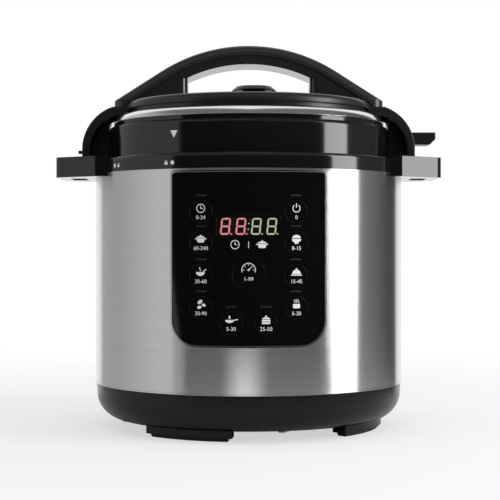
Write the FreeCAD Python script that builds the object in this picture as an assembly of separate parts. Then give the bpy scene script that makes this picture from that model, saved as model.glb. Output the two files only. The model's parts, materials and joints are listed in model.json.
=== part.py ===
"""Electric pressure cooker, modelled as the pieces it comes apart into.

Millimetres. The origin is on the pot's axis, on the surface that the feet stand on.
+Z is up, the control panel faces -Y and the cooker's right side is +X.
"""
import FreeCAD
import Part

import math
import os

V = FreeCAD.Vector
ORIGIN = V(0, 0, 0)
UP = V(0, 0, 1)
DOWN = V(0, 0, -1)
INWARD = V(0, 1, 0)
FULL_TURN = 360.0

# Clearances
running_gap = 0.4
fitting_gap = 0.15
screw_gap = 0.2
skin_gap = 0.05
loose_gap = 0.8
tool_reach = 2.0
overlap = 0.5

# Inner pot
pot_r = 111.5
pot_wall = 1.2
pot_h = 161.7
pot_corner_r = 18.0
pot_rim_w = 1.9
pot_rim_t = 2.0

# Cooking well round the pot
pot_gap = 3.5
well_wall = 1.0
well_corner_r = 12.0
well_hole_r = 22.0
well_lift = 13.7
jacket_gap = 21.5

# Base and feet
foot_h = 8.5
base_h = 31.8
base_wall = 2.5
base_setback = 0.5
base_taper = 2.2
base_curve_r = 23.0
base_lip_h = 8.0
foot_count = 4
foot_angle = 63.3
foot_boss_width = 40.0
foot_boss_depth = 15.0
foot_boss_inset = 17.5
pad_h = 3.0
pad_width = 36.0
pad_depth = 11.0
pad_inset = 2.0
pad_edge_r = 2.0
plate_t = 2.0
plate_lap = 8.0
plate_gap = 1.5
vent_count = 20
vent_w = 4.0
vent_l = 20.0
vent_inset = 8.0

# Steel jacket
shell_wall = 0.8
bead_h = 1.2
bead_out = 0.4

# Collar, ears and locking ring
collar_h = 13.3
collar_setback = 0.5
collar_wall = 2.5
collar_plate_t = 2.2
collar_edge_r = 3.0
collar_lip_h = 8.0
rim_drop = 1.3
boss_r = 4.5
collar_screw_count = 6
ear_reach = 32.5
ear_w = 127.0
ear_tip_w = 74.0
ear_corner_r = 9.0
ear_knee = 38.0
ear_knee_r = 4.0
ear_rise = 1.0
ear_skirt_gap = 1.2
ear_h = 17.7
slot_w = 14.0
slot_l = 34.0
slot_inset = 10.0
lock_wall = 1.2
lock_h = 9.0
lock_drop = 0.5
lug_count = 6
lug_width = 26.0
lug_t = 1.4
lug_reach = 5.0
lug_gap = 0.8
lug_play = 1.1

# Heater and thermostat
heater_inset = 13.5
heater_t = 8.0
heater_rib_h = 6.4
heater_rib_r = 60.0
heater_rib_w = 16.0
heater_edge_r = 2.0
heater_gap = 6.0
heater_post_r = 5.0
heater_post_count = 3
heater_post_angle = 30.0
heater_post_pitch_r = 82.0
element_tube_r = 3.3
element_gap_angle = 30.0
element_pin_r = 1.6
element_pin_l = 13.0
pot_seat_gap = 0.3
cap_r = 15.0
cap_wall = 1.2
cap_h = 14.0
cap_flange_w = 3.0
seat_lap = 4.0
seat_t = 1.2
spring_r = 8.0
spring_wire_r = 0.7
spring_turns = 5
spring_steps = 4
fuse_r = 3.5
fuse_l = 24.0
fuse_pitch_r = 38.0
switch_size = (24.0, 14.0, 16.0)
switch_pitch_r = 52.0
switch_angle = 200.0
tie_rod_r = 4.0

# Power board and inlet
board_t = 1.6
power_board_size = (96.0, 68.0)
board_post_h = 7.5
board_post_r = 3.5
board_post_inset = 6.0
transformer_size = (28.0, 24.0, 20.0)
relay_size = (19.0, 15.0, 15.5)
terminal_size = (30.0, 10.0, 12.0)
capacitor_r = 8.0
capacitor_h = 19.0
board_part_inset = 16.0
inlet_size = (28.0, 20.0)
inlet_z = 26.0
inlet_depth = 26.0
inlet_cavity = (23.0, 15.0)
inlet_cavity_depth = 16.0
inlet_corner_r = 3.0
inlet_pin_size = (4.0, 2.0)
inlet_pin_l = 13.0
inlet_pin_spacing = 14.0
inlet_pin_drop = 4.0

# Control panel
panel_w = 125.0
panel_h = 141.0
panel_top_gap = 0.3
panel_corner_r = 20.0
panel_top_corner_r = 3.0
panel_wall = 2.5
panel_proud = 1.8
bezel_w = 1.8
bezel_proud = 0.4
key_r = 9.0
centre_key_r = 13.0
key_wall = 2.2
key_stem_r = 2.5
key_travel = 0.8
key_column_x = 38.9
key_rows = (190.0, 165.0, 138.0, 112.0)
lower_key_x = 14.2
lower_key_z = 99.6
centre_key_z = 140.0
display_w = 52.0
display_h = 18.5
display_z = 178.0
display_corner_r = 1.5
led_depth = 7.0
control_board_size = (104.0, 126.0)
control_board_z = 147.0
board_setback = 16.7
tact_size = 6.0
tact_h = 3.6
tact_pin_r = 1.7
tact_pin_h = 1.4
panel_post_r = 3.5
panel_post_inset = 5.0

# Lid shell
lid_gap = 0.4
skirt_lap = 3.9
skirt_wall = 2.5
skirt_h = 28.4
skirt_edge_r = 3.0
skirt_rib_w = 2.5
groove_h = 3.5
groove_in = 4.0
trim_h = 8.0
trim_rise_in = 12.4
trim_bottom_in = 1.4
trim_wall = 1.5
trim_seat_w = 3.0
trim_fullness = 0.62
cover_groove_h = 4.0
cover_rim_h = 7.0
cover_rim_lap = 2.0
cover_rise = 7.0
cover_wall = 2.5
cover_in = 15.4
cover_edge_r = 5.0

# Lid liner and seal
liner_wall = 1.2
rim_clear = 1.2
liner_rise = 10.0
liner_flat_w = 12.0
seal_h = 10.0
seal_w = 11.0
seal_lip_w = 3.5
rack_wire_r = 1.4
rack_post_r = 1.2
rack_post_count = 4
rack_drop = 4.0

# Arms at the sides of the lid
arm_w = 62.0
arm_reach = 21.8
arm_wall = 7.0
arm_recess = 23.0
arm_end_gap = 1.3
arm_bulge = 6.6
arm_bulge_loss = 0.15
arm_end_h = 9.0
fin_l = 22.8
fin_h = 11.0
fin_w = 24.0
fin_y = 4.0
fin_drop = 9.5
fin_chamfer = 5.0
nub_reach = 6.5
nub_h = 2.6
nub_w = 10.0
nub_rise = 4.2

# Handle
handle_rise = 44.0
handle_arc_r = 145.0
handle_band = 17.0
handle_skin = 9.0
handle_w = 44.0
handle_edge_r = 6.0
handle_foot_reach = 10.4
handle_end_h = 6.2
handle_foot_drop = 5.0
handle_corner_r = 12.0
grip_inset = 1.0
grip_open_w = 109.0
grip_post_r = 8.0
stud_r = 4.0
stud_x = 84.0
stud_y = 12.0

# Valves in the lid
valve_x = 5.0
valve_y = 50.0
knob_r = 20.8
knob_top_r = 16.5
knob_h = 5.0
knob_stem_r = 11.0
knob_stand = 11.0
knob_edge_h = 1.2
pipe_r = 4.0
pipe_bore_r = 1.6
pipe_flange_r = 8.0
pipe_flange_t = 2.0
shield_r = 10.0
shield_h = 7.0
shield_wall = 0.8
shield_slots = 10
float_x = -32.0
float_y = 44.0
float_r = 3.0
float_flange_r = 6.5
float_flange_t = 2.0
float_travel = 5.0

# Condensation cup at the rear
cup_w = 58.0
cup_d = 24.0
cup_h = 46.0
cup_wall = 2.0
cup_corner_r = 6.0
cup_drop = 6.0
rail_h = 3.0
rail_out = 3.0
rail_l = 18.0
bracket_h = 14.0
bracket_t = 2.0

# Screws
screw_r = 1.6
screw_head_r = 3.4
screw_head_h = 2.2
screw_bite = 6.0

# Radii worked out from the pot outwards
pot_rim_r = pot_r + pot_rim_w
well_inner_r = pot_r + pot_gap
well_r = well_inner_r + well_wall
shell_r = well_r + jacket_gap
shell_inner_r = shell_r - shell_wall
lip_r = shell_inner_r - fitting_gap
liner_inner_r = pot_rim_r + rim_clear
liner_r = liner_inner_r + liner_wall
lug_inner_r = liner_r + lug_gap
lid_lug_r = liner_r + lug_reach
lock_inner_r = lid_lug_r + lug_gap
lock_r = lock_inner_r + lock_wall
mouth_r = lock_inner_r
skirt_r = mouth_r + skirt_lap
collar_r = shell_r - collar_setback
collar_boss_pitch_r = lock_r + boss_r + lug_gap
lock_flange_r = collar_boss_pitch_r + boss_r
base_r = shell_r - base_setback
heater_r = pot_r - heater_inset
ear_tip = shell_r + ear_reach
fascia_r = shell_r + panel_proud
fascia_inner_r = fascia_r - panel_wall
cover_r = skirt_r - cover_in
arm_tip = skirt_r + arm_reach

# Heights worked out from the feet upwards
base_z = foot_h
base_top_z = base_z + base_h
well_z = base_top_z + well_lift
well_floor_z = well_z + well_wall
heater_rib_z = well_floor_z + heater_gap
heater_z = heater_rib_z + heater_rib_h
heater_top_z = heater_z + heater_t
pot_z = heater_top_z + pot_seat_gap
rim_z = pot_z + pot_h
collar_top_z = rim_z + rim_drop
collar_plate_z = collar_top_z - collar_plate_t
shell_top_z = collar_top_z - collar_h
lock_top_z = collar_plate_z - lock_drop
well_top_z = lock_top_z - lock_h
lid_lug_top_z = lock_top_z - lug_t - lug_play
liner_z = lid_lug_top_z - lug_t
seal_z = rim_z + pot_seat_gap
liner_inner_z = seal_z + seal_h + pot_seat_gap
liner_flat_z = liner_inner_z + liner_wall
skirt_z = collar_top_z + lid_gap
skirt_top_z = skirt_z + skirt_h
trim_z = skirt_top_z + groove_h
trim_top_z = trim_z + trim_h
cover_z = trim_top_z + cover_groove_h
cover_edge_z = cover_z + cover_rim_h
cover_top_z = cover_edge_z + cover_rise
handle_top_z = cover_top_z + handle_rise
ear_top_z = collar_top_z + ear_rise
panel_top_z = shell_top_z - bead_h - panel_top_gap - bezel_w
panel_z = panel_top_z - panel_h
board_y = -(fascia_r - board_setback)


def xz(u, v):
    """Point of an upright outline seen from the front."""
    return V(u, 0, v)


def xy(u, v):
    """Point of a flat outline seen from above."""
    return V(u, v, 0)


def rounded(place, *corners):
    """Face whose corners are (u, v) or (u, v, radius)."""
    spans = []
    for index, corner in enumerate(corners):
        here = V(corner[0], corner[1], 0)
        before = V(*corners[index - 1][:2], 0) - here
        after = V(*corners[(index + 1) % len(corners)][:2], 0) - here
        before.normalize()
        after.normalize()
        radius = corner[2] if len(corner) > 2 else 0.0
        if radius == 0:
            spans.append((here,))
            continue
        half = before.getAngle(after) / 2
        middle = before + after
        middle.normalize()
        reach = radius / math.tan(half)
        top = here + middle * (radius / math.sin(half) - radius)
        spans.append((here + before * reach, top, here + after * reach))
    edges = []
    for index, span in enumerate(spans):
        points = [place(point.x, point.y) for point in span]
        start = spans[index - 1][-1]
        start = place(start.x, start.y)
        edges.append(Part.LineSegment(start, points[0]).toShape())
        if len(points) > 1:
            edges.append(Part.Arc(*points).toShape())
    return Part.Face(Part.Wire(edges))


def traced(place, start, *steps):
    """Face drawn from start by lines (u, v) and arcs (mid u, mid v, u, v), then closed."""
    edges = []
    here = place(*start)
    for step in steps:
        there = place(*step[-2:])
        if len(step) == 2:
            edges.append(Part.LineSegment(here, there).toShape())
        else:
            edges.append(Part.Arc(here, place(*step[:2]), there).toShape())
        here = there
    edges.append(Part.LineSegment(here, place(*start)).toShape())
    return Part.Face(Part.Wire(edges))


def turned(face, angle=FULL_TURN):
    """Solid swept by a profile round the pot's axis."""
    return face.revolve(ORIGIN, UP, angle)


def ring(inner, outer, z0, z1):
    """Plain ring on the axis."""
    return turned(rounded(xz, (inner, z0), (outer, z0), (outer, z1), (inner, z1)))


def disc(radius, z0, z1):
    """Plain disc on the axis."""
    return Part.makeCylinder(radius, z1 - z0, V(0, 0, z0))


def sector(inner, outer, z0, z1, middle, width):
    """Part of a ring, width degrees wide about the middle angle."""
    face = rounded(xz, (inner, z0), (outer, z0), (outer, z1), (inner, z1))
    return around(turned(face, width), middle - width / 2)


def around(shape, angle):
    """Copy of a shape turned about the axis."""
    copy = shape.copy()
    copy.rotate(ORIGIN, UP, angle)
    return copy


def pattern(shape, count, first=0.0):
    """Copies of a shape, evenly spaced round the axis."""
    return [around(shape, first + index * FULL_TURN / count) for index in range(count)]


def polar(radius, angle, z):
    """Point at a radius and an angle round the axis."""
    turn = math.radians(angle)
    return V(radius * math.cos(turn), radius * math.sin(turn), z)


def box(size, centre, z0):
    """Upright box of (x, y, z) size, centred over a point."""
    return Part.makeBox(*size, V(centre.x - size[0] / 2, centre.y - size[1] / 2, z0))


def rod(radius, start, direction, length):
    """Round bar from a point."""
    return Part.makeCylinder(radius, length, start, direction)


def prism(face, y0, y1):
    """Upright outline carried from y0 to y1."""
    return moved(face.extrude(V(0, y1 - y0, 0)), V(0, y0, 0))


def slab(face, z0, z1):
    """Flat outline carried from z0 to z1."""
    return moved(face.extrude(V(0, 0, z1 - z0)), V(0, 0, z0))


def moved(shape, step):
    """Copy of a shape moved by a step."""
    copy = shape.copy()
    copy.translate(step)
    return copy


def screw(seat, direction, length):
    """Pan-head screw whose head stands on the seat and whose shank goes along direction."""
    head = rod(screw_head_r, seat, direction * -1, screw_head_h)
    return head.fuse(rod(screw_r, seat, direction, length)).removeSplitter()


def screw_hole(seat, direction, length):
    """Hole for a screw's shank."""
    return rod(screw_r + screw_gap, seat, direction, length)


def dome_height(edge_r, rise, radius):
    """Height above its edge of a dome, at a radius."""
    ball = (edge_r ** 2 + rise ** 2) / (2 * rise)
    return math.sqrt(ball ** 2 - radius ** 2) - (ball - rise)


def arc_from(start, heading, end):
    """Arc that leaves a point along a heading and reaches another point."""
    chord = end - start
    along = V(chord).normalize()
    lean = heading.getAngle(along)
    side = (heading - along * heading.dot(along)).normalize()
    middle = (start + end) / 2 + side * (chord.Length / 2 * math.tan(lean / 2))
    return Part.Arc(start, middle, end).toShape()


def two_arcs(start, out_heading, end, in_heading):
    """Two arcs that meet smoothly between two points with given headings."""
    span = end - start
    spread = 2 * (1 - out_heading.dot(in_heading))
    lean = span.dot(out_heading + in_heading)
    reach = (math.sqrt(lean ** 2 + spread * span.dot(span)) - lean) / spread
    join = (start + end + (out_heading - in_heading) * reach) / 2
    second = arc_from(end, in_heading * -1, join)
    return [arc_from(start, out_heading, join), second]


def one(shape):
    """The single solid of a boolean's result."""
    return shape.removeSplitter()


# Base

tie_pitch_r = well_r - well_corner_r - tie_rod_r - overlap
foot_angles = [foot_angle + index * FULL_TURN / foot_count for index in range(foot_count)]
tie_spots = [angle + FULL_TURN / foot_count / 2 for angle in foot_angles]
boss_outer_r = base_r - foot_boss_inset
boss_inner_r = boss_outer_r - foot_boss_depth
pad_outer_r = boss_outer_r - pad_inset
floor_z = base_z + base_wall
plate_r = tie_pitch_r - screw_head_r - plate_gap
floor_open_r = plate_r - plate_lap
plate_z = base_z - plate_t
plate_screw_r = floor_open_r + plate_lap / 2
base_corner_r = base_r - base_taper


def base_outline():
    """Outer form of the base, without its inside."""
    return turned(rounded(
        xz, (0, base_z), (base_corner_r, base_z, base_curve_r), (base_r, base_top_z), (0, base_top_z)))


def base_housing():
    """Moulded base: a curved tub with a lip inside the jacket and four foot bosses."""
    tub = turned(rounded(
        xz,
        (floor_open_r, base_z), (base_corner_r, base_z, base_curve_r), (base_r, base_top_z),
        (lip_r, base_top_z), (lip_r, base_top_z + base_lip_h),
        (lip_r - base_wall, base_top_z + base_lip_h),
        (base_corner_r - base_wall, floor_z, base_curve_r - base_wall), (floor_open_r, floor_z)))
    boss_top_z = floor_z - overlap
    for angle in foot_angles:
        tub = tub.fuse(sector(boss_inner_r, boss_outer_r, pad_h, boss_top_z, angle, foot_boss_width))
    for angle in tie_spots:
        tub = tub.cut(screw_hole(polar(tie_pitch_r, angle, base_z), UP, base_wall))
        tub = tub.cut(screw_hole(polar(plate_screw_r, angle, base_z), UP, base_wall))
    room = fitting_gap * 2
    inlet_room = (inlet_size[0] + room, jacket_gap + inlet_depth, inlet_size[1] + room)
    tub = tub.cut(box(inlet_room, V(0, shell_r, 0), inlet_z - inlet_room[2] / 2))
    return one(tub)


def foot_pads():
    """Rubber arcs under the foot bosses."""
    face = rounded(
        xz, (pad_outer_r - pad_depth, 0, pad_edge_r), (pad_outer_r, 0, pad_edge_r),
        (pad_outer_r, pad_h), (pad_outer_r - pad_depth, pad_h))
    pad = turned(face, pad_width)
    return Part.makeCompound([around(pad, angle - pad_width / 2) for angle in foot_angles])


def power_board_posts():
    """Places of the power board's four posts."""
    x = power_board_size[0] / 2 - board_post_inset
    y = power_board_size[1] / 2 - board_post_inset
    return [V(side * x, end * y, base_z) for side in (-1, 1) for end in (-1, 1)]


def bottom_plate():
    """Vented plate that closes the base and carries the power board."""
    plate = disc(plate_r, plate_z, base_z)
    vent_x = floor_open_r - vent_inset - vent_l / 2
    slot = box((vent_l, vent_w, plate_t * 2), V(vent_x, 0, 0), plate_z - overlap)
    plate = plate.cut(pattern(slot, vent_count))
    for angle in tie_spots:
        plate = plate.cut(screw_hole(polar(plate_screw_r, angle, plate_z), UP, plate_t))
    for spot in power_board_posts():
        plate = plate.fuse(rod(board_post_r, spot, UP, board_post_h))
        plate = plate.cut(rod(screw_r, spot, UP, board_post_h))
    return one(plate)


def base_screws():
    """Screws of the bottom plate and of the tie rods, all from below."""
    screws = []
    for angle in tie_spots:
        screws.append(screw(polar(plate_screw_r, angle, plate_z), UP, plate_t + base_wall))
        screws.append(screw(polar(tie_pitch_r, angle, base_z), UP, base_wall + screw_bite))
    return Part.makeCompound(screws)


def tie_rods():
    """Rods that draw the base up against the cooking well."""
    rods = []
    for angle in tie_spots:
        foot = polar(tie_pitch_r, angle, floor_z)
        bar = rod(tie_rod_r, foot, UP, well_z - floor_z)
        rods.append(bar.cut(rod(screw_r, foot, UP, screw_bite + overlap)))
    return Part.makeCompound(rods)


# Jacket and collar

collar_spots = [(index + 0.5) * FULL_TURN / collar_screw_count for index in range(collar_screw_count)]
lock_flange_z = well_top_z + lock_wall
ear_z = ear_top_z - ear_h
slot_outer_x = ear_tip - slot_inset
slot_x = slot_outer_x - slot_w / 2


def panel_outline(grow):
    """Outline of the control panel seen from the front, grown on every side."""
    half = panel_w / 2 + grow
    low = panel_z - grow
    high = panel_top_z + grow
    return rounded(
        xz, (-half, low, panel_corner_r + grow), (half, low, panel_corner_r + grow),
        (half, high, panel_top_corner_r), (-half, high, panel_top_corner_r))


def panel_prism(grow):
    """The panel's outline carried through the front of the jacket."""
    return prism(panel_outline(grow), -fascia_r - tool_reach, -well_r)


def outer_shell():
    """Steel jacket with a rolled bead at each end and the panel's window."""
    bead_r = shell_r + bead_out
    bead_top_z = base_top_z + bead_h
    bead_low_z = shell_top_z - bead_h
    wall = turned(rounded(
        xz, (shell_inner_r, base_top_z), (bead_r, base_top_z), (bead_r, bead_top_z), (shell_r, bead_top_z),
        (shell_r, bead_low_z), (bead_r, bead_low_z), (bead_r, shell_top_z), (shell_inner_r, shell_top_z)))
    return one(wall.cut(panel_prism(fitting_gap)))


def ear():
    """Right ear: a moulded grip with the slot that parks the lid."""
    half = ear_w / 2
    tip_half = ear_tip_w / 2
    knee_x = ear_tip - ear_knee
    plan = rounded(
        xy, (mouth_r, -half), (knee_x, -half, ear_knee_r), (ear_tip, -tip_half, ear_corner_r),
        (ear_tip, tip_half, ear_corner_r), (knee_x, half, ear_knee_r), (mouth_r, half))
    body = slab(plan, ear_z, ear_top_z)
    body = body.cut(box((slot_w, slot_l, ear_h), V(slot_x, 0, 0), ear_z))
    body = body.cut(disc(skirt_r + ear_skirt_gap, collar_top_z, ear_top_z))
    return body.cut(disc(shell_r + bead_out + fitting_gap, ear_z, shell_top_z))


def collar_ring():
    """Moulded collar with its two ears and the bosses that hold the cooking well."""
    body = turned(rounded(
        xz, (mouth_r, collar_plate_z), (mouth_r, collar_top_z), (collar_r, collar_top_z, collar_edge_r),
        (collar_r, shell_top_z), (lip_r, shell_top_z), (lip_r, shell_top_z - collar_lip_h),
        (lip_r - collar_wall, shell_top_z - collar_lip_h), (lip_r - collar_wall, collar_plate_z)))
    inside = disc(lip_r - collar_wall, ear_z, collar_plate_z)
    mouth = disc(mouth_r, ear_z, ear_top_z)
    for side in pattern(ear(), 2):
        body = body.fuse(side.cut(inside).cut(mouth))
    boss_h = collar_plate_z - lock_flange_z
    for angle in collar_spots:
        foot = polar(collar_boss_pitch_r, angle, lock_flange_z)
        body = body.fuse(rod(boss_r, foot, UP, boss_h))
        body = body.cut(rod(screw_r, foot, UP, screw_bite + overlap))
    return one(body)


def lug(inner, outer, top_z):
    """One bayonet lug."""
    return sector(inner, outer, top_z - lug_t, top_z, 0, lug_width)


def locking_ring():
    """Steel ring whose lugs hold the lid's lugs down."""
    body = turned(rounded(
        xz, (lock_inner_r, well_top_z), (lock_flange_r, well_top_z), (lock_flange_r, lock_flange_z),
        (lock_r, lock_flange_z), (lock_r, lock_top_z), (lock_inner_r, lock_top_z)))
    body = body.fuse(pattern(lug(lug_inner_r, lock_inner_r + lock_wall / 2, lock_top_z), lug_count))
    for angle in collar_spots:
        body = body.cut(screw_hole(polar(collar_boss_pitch_r, angle, well_top_z), UP, lock_wall))
    return one(body)


def collar_screws():
    """Screws up through the well's flange and the locking ring into the collar."""
    seat_z = well_top_z - well_wall
    length = well_wall + lock_wall + screw_bite
    return Part.makeCompound(
        [screw(polar(collar_boss_pitch_r, angle, seat_z), UP, length) for angle in collar_spots])


def cooking_well():
    """Steel bucket that holds the heater and the pot."""
    flange_z = well_top_z - well_wall
    body = turned(rounded(
        xz, (well_hole_r, well_z), (well_r, well_z, well_corner_r), (well_r, flange_z),
        (lock_flange_r, flange_z), (lock_flange_r, well_top_z), (well_inner_r, well_top_z),
        (well_inner_r, well_floor_z, well_corner_r - well_wall), (well_hole_r, well_floor_z)))
    for angle in collar_spots:
        body = body.cut(screw_hole(polar(collar_boss_pitch_r, angle, flange_z), UP, well_wall))
    for spot in element_ends(well_z):
        body = body.cut(rod(element_pin_r + loose_gap, spot, UP, well_wall))
    return one(body)


# Heater and thermostat

def element_ends(z):
    """Places of the heating element's two terminals."""
    return [polar(heater_rib_r, side * element_gap_angle / 2, z) for side in (-1, 1)]


element_z = heater_rib_z + heater_rib_h / 2


def element_tube(radius):
    """Open ring of round tube inside the heater's rib."""
    section = Part.Face(Part.Wire(Part.makeCircle(radius, V(heater_rib_r, 0, element_z), V(0, 1, 0))))
    return around(turned(section, FULL_TURN - element_gap_angle), element_gap_angle / 2)


def heating_element():
    """Sheathed element with its two terminals."""
    body = element_tube(element_tube_r)
    for spot in element_ends(element_z - element_pin_l):
        body = body.fuse(rod(element_pin_r, spot, UP, element_pin_l))
    return one(body)


def heating_plate():
    """Cast plate under the pot, with a rib that carries the element."""
    half_rib = heater_rib_w / 2
    rib = ring(heater_rib_r - half_rib, heater_rib_r + half_rib, heater_rib_z, heater_z + overlap)
    hole_r = cap_r + running_gap
    plate = turned(rounded(
        xz, (hole_r, heater_z), (heater_r, heater_z), (heater_r, heater_top_z, heater_edge_r),
        (hole_r, heater_top_z)))
    plate = plate.fuse(rib).cut(element_tube(element_tube_r + fitting_gap))
    for spot in element_ends(heater_rib_z):
        plate = plate.cut(rod(element_pin_r + fitting_gap, spot, UP, heater_rib_h / 2))
    return one(plate)


def heater_posts():
    """Posts that stand the heating plate on the well's floor."""
    post = rod(heater_post_r, V(heater_post_pitch_r, 0, well_floor_z), UP, heater_z - well_floor_z)
    return Part.makeCompound(pattern(post, heater_post_count, heater_post_angle))


def thermostat_cap():
    """Sprung cup that touches the pot's underside."""
    low = heater_top_z - cap_h
    flange_r = cap_r + cap_flange_w
    inner = cap_r - cap_wall
    return turned(rounded(
        xz, (inner, low), (flange_r, low), (flange_r, low + cap_wall), (cap_r, low + cap_wall),
        (cap_r, heater_top_z, cap_wall), (0, heater_top_z), (0, heater_top_z - cap_wall),
        (inner, heater_top_z - cap_wall)))


def thermostat_seat():
    """Dished plate over the well's hole that the spring stands on."""
    return disc(well_hole_r + seat_lap, well_floor_z, well_floor_z + seat_t)


def thermostat_spring():
    """Coil spring under the thermostat cap."""
    low = well_floor_z + seat_t + spring_wire_r
    high = heater_top_z - cap_wall - spring_wire_r
    steps = spring_turns * spring_steps
    climb = (high - low) / steps
    turn = 2 * math.pi / spring_steps

    def point(step):
        return V(spring_r * math.cos(step * turn), spring_r * math.sin(step * turn), low + step * climb)

    def heading(step):
        return V(-math.sin(step * turn), math.cos(step * turn), climb / (turn * spring_r)).normalize()

    arcs = []
    for step in range(steps):
        arcs += two_arcs(point(step), heading(step), point(step + 1), heading(step + 1))
    section = Part.Wire(Part.makeCircle(spring_wire_r, point(0), heading(0)))
    return Part.Wire(arcs).makePipeShell([section], True, False)


def thermal_fuse():
    """Ceramic fuse against the heating plate's underside."""
    start = V(-fuse_l / 2, -fuse_pitch_r, heater_z - fuse_r)
    return rod(fuse_r, start, V(1, 0, 0), fuse_l)


def pressure_switch():
    """Switch that the well's floor works as it gives under pressure."""
    spot = polar(switch_pitch_r, switch_angle, 0)
    return box(switch_size, spot, well_z - switch_size[2])


# Power board and inlet

power_board_z = base_z + board_post_h
power_board_top_z = power_board_z + board_t


def power_board():
    """Power circuit board on the bottom plate's posts."""
    board = box((*power_board_size, board_t), ORIGIN, power_board_z)
    for spot in power_board_posts():
        board = board.cut(screw_hole(V(spot.x, spot.y, power_board_z), UP, board_t))
    return board


def power_board_parts():
    """Transformer, relay, capacitor and terminal block on the power board."""
    x = power_board_size[0] / 2 - board_part_inset
    y = power_board_size[1] / 2 - board_part_inset
    top = power_board_top_z
    transformer = box(transformer_size, V(transformer_size[0] / 2 - x, 0, 0), top)
    relay = box(relay_size, V(x - relay_size[0] / 2, y, 0), top)
    capacitor = rod(capacitor_r, V(capacitor_r / 2, -y, top), UP, capacitor_h)
    terminals = box(terminal_size, V(x - terminal_size[0] / 2, -y, 0), top)
    return Part.makeCompound([transformer, relay, capacitor, terminals])


def inlet_block(size, y0, y1):
    """Round-cornered block along Y at the inlet's height."""
    half, tall = size[0] / 2, size[1] / 2
    face = rounded(
        xz, (-half, inlet_z - tall, inlet_corner_r), (half, inlet_z - tall, inlet_corner_r),
        (half, inlet_z + tall, inlet_corner_r), (-half, inlet_z + tall, inlet_corner_r))
    return prism(face, y0, y1)


inlet_back_y = base_r - inlet_depth
cavity_back_y = base_r - inlet_cavity_depth


def power_inlet():
    """Socket for the supply lead, flush with the base at the rear."""
    body = inlet_block(inlet_size, inlet_back_y, shell_r).common(base_outline())
    return one(body.cut(inlet_block(inlet_cavity, cavity_back_y, shell_r)))


def inlet_pins():
    """Three contact blades in the inlet."""
    spots = [(-inlet_pin_spacing / 2, -inlet_pin_drop), (inlet_pin_spacing / 2, -inlet_pin_drop),
             (0, inlet_pin_drop)]
    wide, tall = inlet_pin_size
    pins = []
    for x, rise in spots:
        low = inlet_z + rise - wide / 2
        pins.append(Part.makeBox(tall, inlet_pin_l, wide, V(x - tall / 2, cavity_back_y, low)))
    return Part.makeCompound(pins)


# Control panel

keys = {"key_centre": (0.0, centre_key_z, centre_key_r)}
for row, height in enumerate(key_rows):
    keys["key_left_%d" % (row + 1)] = (-key_column_x, height, key_r)
    keys["key_right_%d" % (row + 1)] = (key_column_x, height, key_r)
keys["key_lower_left"] = (-lower_key_x, lower_key_z, key_r)
keys["key_lower_right"] = (lower_key_x, lower_key_z, key_r)

switch_tip_y = board_y - tact_h - tact_pin_h
panel_post_x = control_board_size[0] / 2 - panel_post_inset
panel_post_z = control_board_size[1] / 2 - panel_post_inset
panel_posts = [(side * panel_post_x, control_board_z + end * panel_post_z)
               for side in (-1, 1) for end in (-1, 1)]


def front_skin(inner, outer):
    """Front half of a round skin as tall as the panel and its bezel."""
    low = panel_z - bezel_w * 2
    high = panel_top_z + bezel_w * 2
    return sector(inner, outer, low, high, -FULL_TURN / 4, FULL_TURN / 2)


def display_outline(grow):
    """Outline of the display window, grown on every side."""
    half = display_w / 2 + grow
    low = display_z - display_h / 2 - grow
    high = display_z + display_h / 2 + grow
    corner = display_corner_r + grow
    return rounded(xz, (-half, low, corner), (half, low, corner), (half, high, corner), (-half, high, corner))


def panel_bezel():
    """Thin frame round the panel, standing on the jacket."""
    skin = front_skin(shell_r + skin_gap, fascia_r + bezel_proud)
    return one(skin.common(panel_prism(bezel_w)).cut(panel_prism(fitting_gap)))


def panel_fascia():
    """Curved front of the panel, with the keys' holes, the display's window and the board's posts."""
    body = front_skin(fascia_inner_r, fascia_r).common(panel_prism(0))
    for x, z, radius in keys.values():
        body = body.cut(rod(radius + running_gap, V(x, -fascia_r - overlap, z), INWARD, jacket_gap))
    body = body.cut(prism(display_outline(fitting_gap), -fascia_r - overlap, board_y))
    for x, z in panel_posts:
        post = rod(panel_post_r, V(x, -fascia_r, z), INWARD, fascia_r + board_y)
        body = body.fuse(post.common(disc(fascia_inner_r + overlap, 0, shell_top_z)))
        body = body.cut(rod(screw_r, V(x, board_y, z), INWARD * -1, screw_bite / 2))
    return one(body)


def display_lens():
    """Smoked window over the digits."""
    window = prism(display_outline(0), -fascia_r - overlap, board_y)
    return front_skin(fascia_inner_r, fascia_r).common(window)


def key(x, z, radius):
    """Round key whose face follows the panel, with a stem behind it."""
    start = V(x, -fascia_r - overlap, z)
    cap = rod(radius, start, INWARD, jacket_gap).common(front_skin(fascia_r - key_wall, fascia_r))
    tip_y = switch_tip_y - key_travel - running_gap
    stem = rod(key_stem_r, start, INWARD, tip_y - start.y)
    return one(cap.fuse(stem.common(disc(fascia_r - key_wall / 2, 0, shell_top_z))))


def control_board():
    """Flat circuit board behind the panel."""
    wide, tall = control_board_size
    board = box((wide, board_t, tall), V(0, board_y + board_t / 2, 0), control_board_z - tall / 2)
    for x, z in panel_posts:
        board = board.cut(screw_hole(V(x, board_y, z), INWARD, board_t))
    return board


def tact_switches():
    """One small switch behind each key."""
    switches = []
    for x, z, _ in keys.values():
        body = box((tact_size, tact_h, tact_size), V(x, board_y - tact_h / 2, 0), z - tact_size / 2)
        plunger = rod(tact_pin_r, V(x, switch_tip_y, z), INWARD, tact_pin_h)
        switches.append(one(body.fuse(plunger)))
    return Part.makeCompound(switches)


def led_display():
    """Digit module on the board, behind the window."""
    size = (display_w - display_corner_r * 2, led_depth, display_h - display_corner_r * 2)
    return box(size, V(0, board_y - led_depth / 2, 0), display_z - size[2] / 2)


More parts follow.
